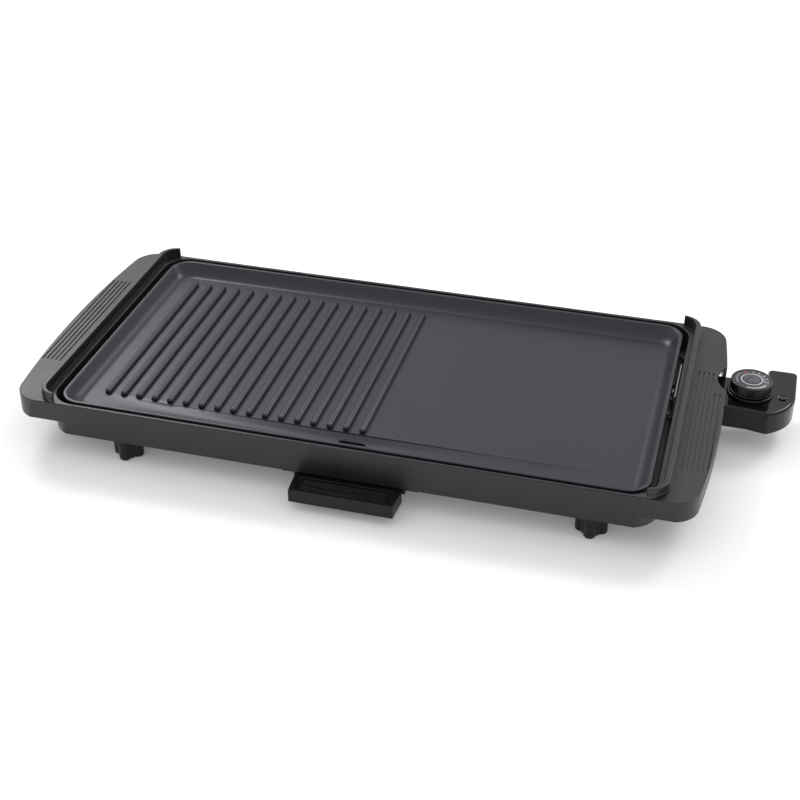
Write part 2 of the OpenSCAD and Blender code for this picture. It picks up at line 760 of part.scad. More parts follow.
module sensor_guide() {
    color("#9a9d9f") placed() difference() {
        union() for (s = [-1, 1]) {
            translate([guide_x0, control_y + (s > 0 ? guide_in : -guide_in - guide_t), under_z - guide_h])
                cube([guide_x1 - guide_x0, guide_t, guide_h]);
            flange_y = s > 0 ? guide_in : -guide_in - guide_t - guide_tab;
            translate([guide_x0, control_y + flange_y, under_z - guide_t])
                cube([guide_x1 - guide_x0, guide_t + guide_tab, guide_t]);
            translate([guide_x0 - guide_t, control_y - guide_in - guide_t, under_z - guide_h])
                cube([guide_t, 2 * (guide_in + guide_t), guide_h]);
        }
        for (x = [guide_x0 + guide_screw_in, guide_x1 - guide_screw_in], s = [-1, 1])
            translate([x, control_y + s * guide_screw_y, under_z - guide_t - 1])
                cylinder(h = guide_t + 2, d = fine_d);
    }
}

module guide_screws() {
    color("silver") placed() for (x = [guide_x0 + guide_screw_in, guide_x1 - guide_screw_in], s = [-1, 1])
        translate([x, control_y + s * guide_screw_y, under_z - guide_t])
            mirror([0, 0, 1]) screw(guide_t + 3, fine_d);
}

// ---------- drip tray ----------

module tray_rail(s) {
    x0 = tray_x + s * rail_in;
    len = rail_back - rail_front;
    wide = rail_t + 10;
    lip_top = tray_top - lip_t - tray_clear;
    translate([x0, rail_front, 0]) mirror([s > 0 ? 0 : 1, 0, 0]) difference() {
        union() {
            translate([0, 0, lip_top - 2]) cube([rail_t, len, wall_z - lip_top + 2]);
            translate([-tray_lip + 0.2, 0, lip_top - 2]) cube([tray_lip, len, 2]);
            translate([0, 0, wall_z - 2]) cube([wide, len, 2]);
            translate([0, len - 12, wall_z - 2]) cube([wide, 12, flange_t + 2]);
        }
        for (y = rail_screw_y) translate([rail_t + 5, y - rail_front, wall_z - 3])
            cylinder(h = flange_t + 4, d = screw_d);
    }
}

module tray_rail_left() { color("#2b2d2f") placed() tray_rail(-1); }

module tray_rail_right() { color("#2b2d2f") placed() tray_rail(1); }

module rail_screws() {
    color("silver") placed() for (s = [-1, 1]) {
        translate([tray_x + s * rail_screw_x, rail_screw_y[0], wall_z - 2])
            mirror([0, 0, 1]) screw(2 + flange_t - 0.2);
        translate([tray_x + s * rail_screw_x, rail_screw_y[1], wall_z - 2])
            mirror([0, 0, 1]) screw(2 + flange_t + pan_t - eps);
    }
}

module tray_grip() {
    taper = 1.4;
    deep = grip_back - grip_front;
    recess_w = grip_w - 13;
    ribs = 5;
    difference() {
        slab([[-grip_w / 2 + taper, grip_front], [grip_w / 2 - taper, grip_front],
            [grip_w / 2, grip_back], [-grip_w / 2, grip_back]], grip_z, grip_top);
        translate([-recess_w / 2, grip_front + 3, grip_top - 1.2]) cube([recess_w, deep - 7, 2]);
    }
    for (i = [0 : ribs - 1])
        translate([-recess_w / 2 + 3, grip_front + 4.4 + i * (deep - 9) / ribs, grip_top - 1.3])
        cube([recess_w - 6, 1.2, 1.1]);
}

module drip_tray() {
    back = grip_back + tray_len - 2;
    color("#2b2d2f") placed() translate([tray_x, 0, 0]) union() {
        tray_grip();
        difference() {
            union() {
                translate([-tray_half, grip_back - eps, grip_z])
                    cube([2 * tray_half, back - grip_back, tray_top - grip_z]);
                translate([-tray_half - tray_lip, grip_back - eps, tray_top - lip_t])
                    cube([2 * (tray_half + tray_lip), back - grip_back, lip_t]);
            }
            translate([-tray_half + tray_wall, grip_back + tray_wall, grip_z + tray_wall])
                cube([2 * (tray_half - tray_wall), back - grip_back - 2 * tray_wall, grip_h]);
        }
    }
}

// ---------- control ----------

function control_outline() = let (
    cx = wing_x - wing_r,
    cy = knob_y + 5,
    start = -acos((knob_x + 17 - cx) / wing_r),
    r = 4)
    concat([[body_x, arm_front + 0.8], [knob_x, arm_front + 0.4]], arc(cx, cy, wing_r, start, 0, 12),
        arc(wing_x - r, wing_end - r, r, 0, 90, 4), arc(wing_x - wing_w + r, wing_end - r, r, 90, 180, 4),
        [[wing_x - wing_w, arm_back], [body_x, arm_back]]);

module control_cavity(z0, z1) {
    translate([0, 0, z0]) linear_extrude(height = z1 - z0) offset(delta = -shell_t)
        polygon(control_outline());
}

module nose_hole() {
    translate([body_x - 1, control_y - nose_w / 2, axis_z - nose_h / 2]) cube([shell_t + 2, nose_w, nose_h]);
}

module grommet_hole() {
    translate([grommet_x, wing_end - shell_t - 1, split_z]) rotate([-90, 0, 0])
        cylinder(h = shell_t + 2, d = grommet_d);
}

module housing_lower() {
    color("#1c1d1e") placed() difference() {
        union() {
            difference() {
                slab(control_outline(), arm_z, split_z);
                control_cavity(arm_z + shell_t, split_z + 1);
            }
            for (p = post_xy) translate([p[0], p[1], arm_z + 1])
                cylinder(h = split_z - arm_z - 1, d = post_d);
        }
        nose_hole();
        grommet_hole();
        for (p = post_xy) translate([p[0], p[1], arm_z - 1]) {
            cylinder(h = arm_h, d = fine_d + 0.6);
            cylinder(h = 1 + head_h + 0.4, d = head_d - 0.6);
        }
    }
}

module housing_upper() {
    color("#1c1d1e") placed() difference() {
        union() {
            difference() {
                slab(control_outline(), split_z, arm_top);
                control_cavity(split_z - 1, arm_top - shell_t);
            }
            for (p = post_xy) translate([p[0], p[1], split_z]) cylinder(h = arm_h / 2 - 1, d = post_d);
            translate([knob_x, knob_y, arm_top - eps]) cylinder(h = collar_h, r = collar_r);
        }
        nose_hole();
        grommet_hole();
        for (p = post_xy) translate([p[0], p[1], split_z - 1]) cylinder(h = arm_h / 2 - 1.5, d = fine_d);
        translate([knob_x, knob_y, split_z + 1]) cylinder(h = arm_h, d = shaft_d + 4);
        translate([lens_at[0], lens_at[1], split_z + 1]) cylinder(h = arm_h, d = 5);
    }
}

module housing_screws() {
    color("silver") placed() for (p = post_xy) translate([p[0], p[1], arm_z + head_h + 0.4])
        mirror([0, 0, 1]) screw(arm_h / 2 + 3, fine_d);
}

module socket_carrier() {
    len = body_x + 6 - nose_x;
    color("#4b3a2c") placed() difference() {
        translate([nose_x, control_y - nose_w / 2, axis_z - nose_h / 2]) cube([len, nose_w, nose_h]);
        for (y = pin_y) tube_x(nose_x + 1, nose_x + len + 1, y, pin_d + 3, axis_z);
        for (y = pin_y) tube_x(nose_x - 1, nose_x + 2, y, pin_d + 1, axis_z);
        tube_x(nose_x - 1, nose_x + len, control_y, probe_d, axis_z);
        tube_x(body_x, nose_x + len + 1, control_y, probe_d + 3.5, axis_z);
    }
}

module socket(y) {
    len = body_x + 6 - nose_x - 1;
    difference() {
        union() {
            tube_x(nose_x + 1, nose_x + 1 + len, y, pin_d + 3, axis_z);
            translate([nose_x + len, y - 2, axis_z - 0.4]) cube([9, 4, 0.8]);
        }
        tube_x(nose_x, body_x + 2, y, pin_d + 2 * pin_clear, axis_z);
    }
}

module socket_front() { color("#b8a06a") placed() socket(pin_y[0]); }

module socket_back() { color("#b8a06a") placed() socket(pin_y[1]); }

module sensor_probe() {
    tip_x = nose_x - probe_len + probe_d / 2;
    color("#c4c7c9") placed() union() {
        tube_x(tip_x, body_x + 8, control_y, probe_d, axis_z);
        translate([tip_x, control_y, axis_z]) sphere(d = probe_d);
    }
}

module probe_ferrule() {
    color("#b08d4c") placed() difference() {
        tube_x(body_x, body_x + 7, control_y, probe_d + 3.5, axis_z);
        tube_x(body_x - 1, body_x + 8, control_y, probe_d, axis_z);
    }
}

// ---------- thermostat ----------

module thermostat_frame() {
    base_z = arm_z + shell_t;
    color("#a3a6a8") placed() difference() {
        union() {
            translate([stack_x - stack_w / 2, knob_y - stack_w / 2, base_z]) cube([blade_len, stack_w, 1]);
            translate([stack_x - stack_w / 2, knob_y - stack_w / 2, base_z])
                cube([stack_w, stack_w, blade_low - 1 - base_z]);
        }
        translate([stack_x, knob_y, base_z - 1]) cylinder(h = arm_h, d = fine_d);
    }
}

module blade(z, len) {
    difference() {
        translate([stack_x - stack_w / 2, knob_y - 3, z]) cube([len, 6, blade_t]);
        translate([stack_x, knob_y, z - 1]) cylinder(h = 3, d = fine_d);
    }
}

module contact_arm_lower() { color("#c08a55") placed() blade(blade_low, blade_len - 8); }

module contact_arm_upper() { color("#c9a85c") placed() blade(blade_high, blade_len); }

module stack_insulators() {
    color("#e8e4da") placed() for (z = [[blade_low - 1, 1], [blade_low + blade_t, blade_gap],
            [blade_high + blade_t, 1.2]])
        translate([stack_x, knob_y, z[0]]) difference() {
            cylinder(h = z[1], d = stack_w - 1);
            translate([0, 0, -1]) cylinder(h = z[1] + 2, d = fine_d);
        }
}

module contact_points() {
    tip_x = stack_x + blade_len - 19;
    color("silver") placed() {
        translate([tip_x, knob_y, blade_low + blade_t]) cylinder(h = 1, d = 3);
        translate([tip_x, knob_y, blade_high - 1]) cylinder(h = 1, d = 3);
    }
}

module stack_rivet() {
    base_z = arm_z + shell_t;
    color("#8d8f90") placed() translate([stack_x, knob_y, 0]) union() {
        translate([0, 0, base_z]) cylinder(h = blade_high + blade_t + 1.2 - base_z, d = fine_d);
        translate([0, 0, blade_high + blade_t + 1.2]) cylinder(h = 1, d = fine_d + 2.4);
    }
}

module shaft_bush() {
    color("#b08d4c") placed() translate([knob_x, knob_y, 0]) difference() {
        union() {
            translate([0, 0, arm_top - shell_t - 1.6]) cylinder(h = 1.6, d = shaft_d + 7);
            translate([0, 0, arm_top - shell_t - 1.6])
                cylinder(h = shell_t + collar_h + 1.4, d = shaft_d + 4);
        }
        translate([0, 0, split_z]) cylinder(h = arm_h, d = shaft_d + 2 * shaft_clear);
    }
}

module indicator_lens() {
    color("#5a1410") placed() translate([lens_at[0], lens_at[1], 0]) union() {
        translate([0, 0, arm_top - shell_t]) cylinder(h = shell_t + 0.3, d = 5);
        translate([0, 0, arm_top + 0.3]) cylinder(h = 0.6, d1 = 5, d2 = 3);
    }
}

module neon_lamp() {
    color("#e0b090") placed() translate([lens_at[0], lens_at[1], split_z - 3.5]) union() {
        cylinder(h = arm_top - shell_t - split_z + 2, d = 4.4);
        translate([0, 0, arm_top - shell_t - split_z + 2 - eps]) cylinder(h = 1.5, d1 = 4.4, d2 = 2);
    }
}

module cord_grommet() {
    color("#232425") placed() translate([grommet_x, wing_end, split_z]) rotate([-90, 0, 0]) difference() {
        union() {
            translate([0, 0, -shell_t - 3]) cylinder(h = grommet_len, d = grommet_d);
            translate([0, 0, -shell_t - 3]) cylinder(h = 3, d = grommet_d + 2.4);
            cylinder(h = 1.6, d = grommet_d + 2);
        }
        translate([0, 0, -shell_t - 4]) cylinder(h = grommet_len + 2, d = inlet_d);
    }
}

// ---------- dial ----------

function fluted(r, deep, n) = [for (i = [0 : 4 * n - 1]) let (a = 90 * i / n, k = i % 4)
    (k < 2 ? r : r - deep) * [cos(a), sin(a)]];

module dial_knob() {
    hub_d = shaft_d + 5;
    color("#1a1b1c") placed() translate([knob_x, knob_y, 0]) difference() {
        union() {
            slab(fluted(knob_d / 2, flute_depth, knob_flutes), knob_z, knob_top - 2);
            translate([0, 0, knob_top - 2 - eps]) cylinder(h = 1.2 + eps, d = knob_d - 2 * flute_depth);
            translate([0, 0, knob_top - 0.8]) cylinder(h = 0.8, d1 = knob_d - 1, d2 = knob_d - 2.4);
        }
        difference() {
            translate([0, 0, knob_z - 1]) cylinder(h = knob_h - 2, d = knob_d - 5);
            translate([0, 0, knob_z + 1.4]) cylinder(h = knob_h, d = hub_d);
        }
        translate([0, 0, knob_top - face_t - 0.1]) cylinder(h = 2, r = face_r);
        translate([0, 0, knob_z - 1]) cylinder(h = knob_h - 3, d = shaft_d);
    }
}

module dial_face() {
    color("#2c2d2f") placed() translate([knob_x, knob_y, knob_top - face_t - 0.1])
        cylinder(h = face_t, r = face_r - 0.1);
}

module dial_shaft() {
    foot_z = blade_high + blade_t + 0.3;
    groove_z = arm_top - shell_t - 3.2;
    color("#b9bcbe") placed() translate([knob_x, knob_y, 0]) difference() {
        translate([0, 0, foot_z]) cylinder(h = knob_z + knob_h - 4 - foot_z, d = shaft_d);
        translate([0, 0, groove_z]) difference() {
            cylinder(h = 1, d = shaft_d + 2);
            translate([0, 0, -1]) cylinder(h = 3, d = shaft_d - 1);
        }
    }
}

module shaft_clip() {
    groove_z = arm_top - shell_t - 3.2;
    color("#77797b") placed() translate([knob_x, knob_y, groove_z]) difference() {
        cylinder(h = 1, d = shaft_d + 4);
        translate([0, 0, -1]) cylinder(h = 3, d = shaft_d - 1);
        translate([0, -1, -1]) cube([shaft_d, 2, 3]);
    }
}

base_frame();
bottom_pan();
pan_screws();
foot_front_left();
foot_front_right();
foot_back_left();
foot_back_right();
foot_screws();
heating_element();
element_bracket_1();
element_bracket_2();
element_bracket_3();
element_bracket_4();
bracket_screws();
terminal_block();
terminal_pin_front();
terminal_pin_back();
terminal_guard();
guard_screws();
tray_rail_left();
tray_rail_right();
rail_screws();
griddle_plate();
sensor_guide();
guide_screws();
drip_tray();
housing_lower();
housing_upper();
housing_screws();
socket_carrier();
socket_front();
socket_back();
sensor_probe();
probe_ferrule();
thermostat_frame();
contact_arm_lower();
contact_arm_upper();
stack_insulators();
contact_points();
stack_rivet();
shaft_bush();
indicator_lens();
neon_lamp();
cord_grommet();
dial_knob();
dial_face();
dial_shaft();
shaft_clip();
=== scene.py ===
# %% [markdown]
# # A table-top electric griddle
#
# This lesson dresses a fixed mechanical model. The frame holds every part at its real size and place, and
# Blender adds rounded edges, cast and moulded surfaces, printing, light and a camera. Nothing in the frame is
# moved: a part whose shape is right gets a finish, and a part that needs softer edges is replaced by a new
# mesh.

# %% Tools for the lesson
import json
import math

import bmesh
import bpy
from mathutils import Matrix, Vector

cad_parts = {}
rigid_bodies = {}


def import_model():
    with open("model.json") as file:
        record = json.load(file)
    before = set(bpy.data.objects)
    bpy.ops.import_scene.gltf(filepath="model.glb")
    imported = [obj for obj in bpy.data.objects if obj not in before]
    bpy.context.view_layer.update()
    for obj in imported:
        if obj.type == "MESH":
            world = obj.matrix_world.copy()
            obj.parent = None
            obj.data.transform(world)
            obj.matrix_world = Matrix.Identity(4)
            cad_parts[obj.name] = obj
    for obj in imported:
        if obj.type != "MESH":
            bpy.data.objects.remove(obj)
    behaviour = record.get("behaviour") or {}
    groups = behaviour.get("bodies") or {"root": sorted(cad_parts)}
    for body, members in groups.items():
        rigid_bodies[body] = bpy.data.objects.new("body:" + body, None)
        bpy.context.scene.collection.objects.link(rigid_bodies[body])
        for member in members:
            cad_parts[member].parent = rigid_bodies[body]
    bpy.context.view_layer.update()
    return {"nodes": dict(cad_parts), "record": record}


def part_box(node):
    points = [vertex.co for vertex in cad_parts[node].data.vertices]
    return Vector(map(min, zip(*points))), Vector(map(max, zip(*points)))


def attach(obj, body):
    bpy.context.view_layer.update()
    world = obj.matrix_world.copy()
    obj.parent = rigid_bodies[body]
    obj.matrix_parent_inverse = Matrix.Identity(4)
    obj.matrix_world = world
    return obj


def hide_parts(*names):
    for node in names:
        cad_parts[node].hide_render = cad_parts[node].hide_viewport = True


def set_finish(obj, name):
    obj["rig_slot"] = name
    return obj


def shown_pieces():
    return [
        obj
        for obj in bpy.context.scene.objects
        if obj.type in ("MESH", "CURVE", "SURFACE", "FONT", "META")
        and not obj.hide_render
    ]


MM = 0.001

# %% The fixed frame
for thing in list(bpy.data.objects):
    bpy.data.objects.remove(thing)
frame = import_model()
nodes = frame["nodes"]
body_of_node = {n: b for b, group in frame["record"]["behaviour"]["bodies"].items() for n in group}
slot_of_node = {row["node"]: row["material_slot"] for row in frame["record"]["subparts"]}

# %% [markdown]
# The griddle is laid out about the middle of its cooking plate, and its parts are drawn in millimetres.
# Reading that middle and the main heights from the frame's own boxes keeps each new piece in register with
# its mechanical twin. Typing the numbers in again would be quicker, but then a change to the frame would
# leave the looks behind.

# %% Middle of the plate and main heights
plate_low, plate_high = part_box("griddle_plate")
mid_x = (plate_low.x + plate_high.x) / 2
mid_y = (plate_low.y + plate_high.y) / 2
half_x = (plate_high.x - plate_low.x) / 2 / MM
half_y = (plate_high.y - plate_low.y) / 2 / MM
rim_z = plate_high.z / MM
print(f"plate {2 * half_x:.1f} by {2 * half_y:.1f} mm, rim {rim_z:.1f} mm above the table")


def place(x, y, z):
    """A point given in millimetres from the middle of the plate, in the frame's metres."""
    return Vector((mid_x + x * MM, mid_y + y * MM, z * MM))


# %% [markdown]
# ## Making pieces
#
# Two ways of making a mesh cover the whole griddle. Cast and turned parts are lofted from rings of points,
# because their sections are simple and their curves must be smooth. Moulded parts are copied from the frame
# and given rounded edges with a weighted bevel, because a mould's radii are small and differ from edge to
# edge, and a bevel that reads a weight on each edge can follow them.

# %% Turning a mesh into a riding piece
def finish_piece(bm, name, body, slot, stands_for=()):
    """Makes an object from a bmesh in frame metres, rides it on a body and names its finish."""
    bmesh.ops.recalc_face_normals(bm, faces=bm.faces)
    open_edges = sum(1 for e in bm.edges if not e.is_manifold)
    mesh = bpy.data.meshes.new(name)
    bm.to_mesh(mesh)
    bm.free()
    mesh.shade_smooth()
    piece = bpy.data.objects.new(name, mesh)
    bpy.context.scene.collection.objects.link(piece)
    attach(piece, body)
    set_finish(piece, slot)
    if stands_for:
        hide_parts(*stands_for)
    print(f"{name}: {len(mesh.polygons)} faces, {open_edges} open edges")
    return piece


def bridge(bm, rings, closed=True):
    """Joins rings of equal length with quads. Each ring is a list of mesh vertices."""
    for low, high in zip(rings, rings[1:]):
        count = len(low)
        for i in range(count if closed else count - 1):
            j = (i + 1) % count
            quad = (low[i], low[j], high[j], high[i])
            if len(set(quad)) == 4:
                bm.faces.new(quad)


# %% [markdown]
# A bevel needs clean flat faces. The frame's parts arrive as triangles with doubled corners, so the copy is
# welded and its flat triangles are dissolved first. Each sharp outward edge then gets its own radius from a
# small rule, and inward corners stay crisp, as they do in a mould made from cut steel. Normals weighted by
# face area keep the large faces flat right up to their rounded edges.

# %% Rounded copies of moulded parts
def softened(node, radius_at, name=None, segments=3, sharp=30, painted_shade_at=None):
    """A copy of a part with rounded edges. radius_at(x, y, z) gives the radius in mm at an edge's middle.
    Faces that pass the last argument's test at their middle take the piece's second finish, a darker colour of
    painted shade."""
    bm = bmesh.new()
    bm.from_mesh(nodes[node].data)
    bmesh.ops.remove_doubles(bm, verts=bm.verts, dist=2e-6)
    bmesh.ops.dissolve_limit(bm, angle_limit=math.radians(0.4), verts=bm.verts, edges=bm.edges)
    bmesh.ops.recalc_face_normals(bm, faces=bm.faces)
    layer = bm.edges.layers.float.new("bevel_weight_edge")
    radii = {}
    for edge in bm.edges:
        if len(edge.link_faces) != 2 or abs(edge.calc_face_angle_signed(0)) < math.radians(sharp):
            continue
        if edge.calc_face_angle_signed(0) < 0:
            edge.smooth = False
            continue
        middle = (edge.verts[0].co + edge.verts[1].co) / 2
        radii[edge] = radius_at((middle.x - mid_x) / MM, (middle.y - mid_y) / MM, middle.z / MM)
    widest = max(radii.values())
    for edge, radius in radii.items():
        edge[layer] = radius / widest
    for face in bm.faces:
        middle = face.calc_center_median()
        # Painted shade: faces picked here take the darker second finish.
        if painted_shade_at and painted_shade_at((middle.x - mid_x) / MM, (middle.y - mid_y) / MM, middle.z / MM):
            face.material_index = 1
    piece = finish_piece(bm, name or node + "_moulded", body_of_node[node], slot_of_node[node], (node,))
    bevel = piece.modifiers.new("rounded edges", "BEVEL")
    bevel.width = widest * MM
    bevel.segments = segments
    bevel.limit_method = "WEIGHT"
    bevel.use_clamp_overlap = False
    flat = piece.modifiers.new("flat faces", "WEIGHTED_NORMAL")
    flat.keep_sharp = True
    return piece


# %% [markdown]
# ## The cooking plate
#
# The real plate is one aluminium casting, about five millimetres thick, with a rolled rim, sloping walls, a
# generous fillet at their foot and a shallow gutter that falls towards a drain slot. It could be cut from
# blocks, but then the fillets would be flat facets. Here it is lofted from rounded rectangles that step down
# the wall, and the same rings run on across the floor, so that the gutter is part of one smooth surface.

# %% Sizes of the casting
RIM_W = 3.0
FLOOR_DROP = 11.0
PLATE_T = 5.0
RIM_CORNER_R = 18.5
FLOOR_CORNER_R = 9.5
FLOOR_INSET = 15.0
floor_z = rim_z - FLOOR_DROP
under_z = floor_z - PLATE_T
gutter_back = -half_y + 33.5
gutter_reach = half_x - 30.0
drain_x = 3.4
GUTTER_STEPS = [(0.0, 0.0), (0.35, 0.2), (4.5, 0.58), (9.0, 1.0), (15.0, 0.84), (18.0, 0.5), (18.5, 0.0)]
GUTTER_DEPTH = 5.0
SIDE_STEPS = 48


def gutter_share(x):
    """How deep the gutter is at x, as a share of its depth at the drain."""
    reach = gutter_reach - drain_x if x > drain_x else gutter_reach + drain_x
    return max(0.0, 1 - abs(x - drain_x) / reach)


def gutter_drop(x, y, depth):
    """How far the floor is sunk at a point."""
    across = gutter_back - y
    for (a, low), (b, high) in zip(GUTTER_STEPS, GUTTER_STEPS[1:]):
        if a <= across <= b:
            return gutter_share(x) * depth * (low + (high - low) * (across - a) / (b - a))
    return 0.0


# %% Rounded rectangle with a fixed number of points
def side_points(reach, marks):
    """Even points from -reach to reach, with the marks put in place of any points too near to them."""
    even = [reach * (2 * i / SIDE_STEPS - 1) for i in range(SIDE_STEPS + 1)]
    kept = [p for p in even if abs(p) == reach or all(abs(p - mark) > 1.2 for mark in marks)]
    return sorted(kept + list(marks))


flat_x = half_x - FLOOR_INSET - FLOOR_CORNER_R
flat_y = half_y - FLOOR_INSET - FLOOR_CORNER_R
along_x = side_points(flat_x, [-gutter_reach, drain_x, gutter_reach])
along_y = side_points(flat_y, [gutter_back - across for across, _ in GUTTER_STEPS[:4]])
CORNER_STEPS = 12


def ring_points(hx, hy, r):
    """A rounded rectangle, anticlockwise from the right end of its front side."""
    fx, fy = (hx - r) / flat_x, (hy - r) / flat_y
    points = []

    def corner(cx, cy, start):
        for i in range(1, CORNER_STEPS):
            a = math.radians(start + 90 * i / CORNER_STEPS)
            points.append((cx + r * math.cos(a), cy + r * math.sin(a)))

    points += [(x * fx, -hy) for x in along_x]
    corner(hx - r, r - hy, -90)
    points += [(hx, y * fy) for y in along_y]
    corner(hx - r, hy - r, 0)
    points += [(x * fx, hy) for x in reversed(along_x)]
    corner(r - hx, hy - r, 90)
    points += [(-hx, y * fy) for y in reversed(along_y)]
    corner(r - hx, r - hy, 180)
    return points


# %% [markdown]
# The wall's section runs from the underside out to the rim and down to the floor. Its curves are short
# quadratic arcs, which need only three points each and meet the straight stretches without a kink.

# %% Section through the wall
def arc_through(start, pull, end, steps):
    """Points on a curve from start to end, pulled towards a third point."""
    points = []
    for i in range(steps + 1):
        t = i / steps
        a, b, c = (1 - t) ** 2, 2 * t * (1 - t), t ** 2
        points.append(tuple(a * p + b * q + c * r for p, q, r in zip(start, pull, end)))
    return points


outer_section = (arc_through((14.0, under_z), (11.6, under_z), (10.0, under_z + 2.2), 5)
                 + arc_through((5.0, rim_z - 6.5), (3.0, rim_z - 3.6), (1.6, rim_z - 3.0), 4)
                 + arc_through((0.7, rim_z - 3.0), (0.0, rim_z - 3.0), (0.0, rim_z - 2.3), 4))
rim_section = (arc_through((0.0, rim_z - 1.1), (0.0, rim_z), (1.0, rim_z), 5)
               + arc_through((RIM_W - 0.9, rim_z), (RIM_W, rim_z), (RIM_W + 0.5, rim_z - 0.8), 5))
inner_section = arc_through((7.2, rim_z - 6.3), (10.9, floor_z), (FLOOR_INSET, floor_z), 9)
wall_section = outer_section + rim_section + inner_section
print("wall section:", len(wall_section), "rings")


# %% Floor and underside from the same rings
def floor_rings(bm, first, start_inset, base_z, depth):
    """Carries a ring across the floor to its inner rectangle and fills that with a grid."""
    rings = [first]
    reach = half_x - start_inset
    start_r = reach - flat_x
    for share in (0.12, 0.4, 0.7):
        d = start_r * share
        points = ring_points(reach - d, half_y - start_inset - d, start_r - d)
        rings.append([bm.verts.new(place(x, y, base_z - gutter_drop(x, y, depth))) for x, y in points])
    grid = [[bm.verts.new(place(x, y, base_z - gutter_drop(x, y, depth))) for x in along_x] for y in along_y]
    inner = list(grid[0])
    inner += [grid[0][-1]] * (CORNER_STEPS - 1) + [row[-1] for row in grid]
    inner += [grid[-1][-1]] * (CORNER_STEPS - 1) + list(reversed(grid[-1]))
    inner += [grid[-1][0]] * (CORNER_STEPS - 1) + [row[0] for row in reversed(grid)]
    inner += [grid[0][0]] * (CORNER_STEPS - 1)
    bridge(bm, rings)
    last = rings[-1]
    for i in range(len(last)):
        j = (i + 1) % len(last)
        corners = [last[i], last[j], inner[j], inner[i]]
        unique = list(dict.fromkeys(corners))
        if len(unique) > 2:
            bm.faces.new(unique)
    for low, high in zip(grid, grid[1:]):
        for i in range(len(low) - 1):
            bm.faces.new((low[i], low[i + 1], high[i + 1], high[i]))


# %% Body of the casting
cast = bmesh.new()
wall_rings = []
for inset, z in wall_section:
    radius = RIM_CORNER_R + (FLOOR_CORNER_R - RIM_CORNER_R) * inset / FLOOR_INSET
    points = ring_points(half_x - inset, half_y - inset, radius)
    wall_rings.append([cast.verts.new(place(x, y, z)) for x, y in points])
bridge(cast, wall_rings)
floor_rings(cast, wall_rings[-1], FLOOR_INSET, floor_z, GUTTER_DEPTH)
floor_rings(cast, wall_rings[0], 14.0, under_z, GUTTER_DEPTH - 0.5)


# %% [markdown]
# The searing ribs are half-round bars with ball ends. Sunk bars would look right, but a union with the
# casting leaves one clean closed skin, as on the real plate, and puts the crisp line at the foot of each rib.

# %% Adding and cutting solids
def combined(base, other, operation):
    """Unites or cuts two meshes and returns the result as a new bmesh."""
    held = []
    for bm in (base, other):
        bmesh.ops.recalc_face_normals(bm, faces=bm.faces)
        mesh = bpy.data.meshes.new("solid")
        bm.to_mesh(mesh)
        bm.free()
        held.append(bpy.data.objects.new("solid", mesh))
        bpy.context.scene.collection.objects.link(held[-1])
    step = held[0].modifiers.new("step", "BOOLEAN")
    step.operation = operation
    step.solver = "EXACT"
    step.object = held[1]
    graph = bpy.context.evaluated_depsgraph_get()
    result = bmesh.new()
    result.from_mesh(held[0].evaluated_get(graph).to_mesh())
    for thing in held:
        bpy.data.objects.remove(thing)
    return result


# %% Ribs
RIB_R = 2.8
RIB_H = 4.0
RIB_PITCH = 14.0
RIB_COUNT = 17
rib_left = -half_x + 30.0
rib_front = -half_y + 37.3
rib_back = half_y - 28.5
rib_axis_z = floor_z + RIB_H - RIB_R
END_STEPS = 8
ROUND_STEPS = 14


def rib_section(bm, x, y, r):
    """One cross-section of a rib: two upright sides and a half circle."""
    foot = floor_z - 1.5
    points = [(x + r, foot)]
    for i in range(ROUND_STEPS + 1):
        a = math.pi * i / ROUND_STEPS
        points.append((x + r * math.cos(a), rib_axis_z + r * math.sin(a)))
    points.append((x - r, foot))
    return [bm.verts.new(place(px, y, pz)) for px, pz in points]


ribs = bmesh.new()
for number in range(RIB_COUNT):
    x = rib_left + number * RIB_PITCH
    sections = []
    for i in range(END_STEPS + 1):
        a = math.pi / 2 * (0.06 + 0.94 * i / END_STEPS)
        sections.append(rib_section(ribs, x, rib_front - RIB_R * math.cos(a), RIB_R * math.sin(a)))
    for i in range(END_STEPS, -1, -1):
        a = math.pi / 2 * (0.06 + 0.94 * i / END_STEPS)
        sections.append(rib_section(ribs, x, rib_back + RIB_R * math.cos(a), RIB_R * math.sin(a)))
    bridge(ribs, sections)
    ribs.faces.new(sections[0])
    ribs.faces.new(sections[-1])
print("ribs:", RIB_COUNT)

# %% [markdown]
# Under the plate hangs the drain's spout, a short slotted tube. It is lofted from stadium outlines and joined
# to the casting together with the ribs, before the drain slot is cut through everything.

# %% Spout and drain slot
SPOUT_DROP = 3.5
DRAIN_LEN = 23.0
DRAIN_W = 5.2
drain_y = gutter_back - 9.5
spout_z = under_z - GUTTER_DEPTH - SPOUT_DROP


def stadium(length, width, steps=16):
    """A slot's outline about its middle."""
    r = width / 2
    straight = length / 2 - r
    points = []
    for side, start in ((1, -90), (-1, 90)):
        for i in range(steps + 1):
            a = math.radians(start + 180 * i / steps)
            points.append((side * straight + r * math.cos(a), r * math.sin(a)))
    return points


def column(bm, outlines, cx, cy):
    """A closed solid from (outline, z) pairs stacked upwards."""
    rings = [[bm.verts.new(place(cx + x, cy + y, z)) for x, y in outline] for outline, z in outlines]
    bridge(bm, rings)
    bm.faces.new(rings[0])
    bm.faces.new(rings[-1])


def circle(r, steps=40):
    """A circle's outline about its middle."""
    return [(r * math.cos(math.tau * i / steps), r * math.sin(math.tau * i / steps)) for i in range(steps)]


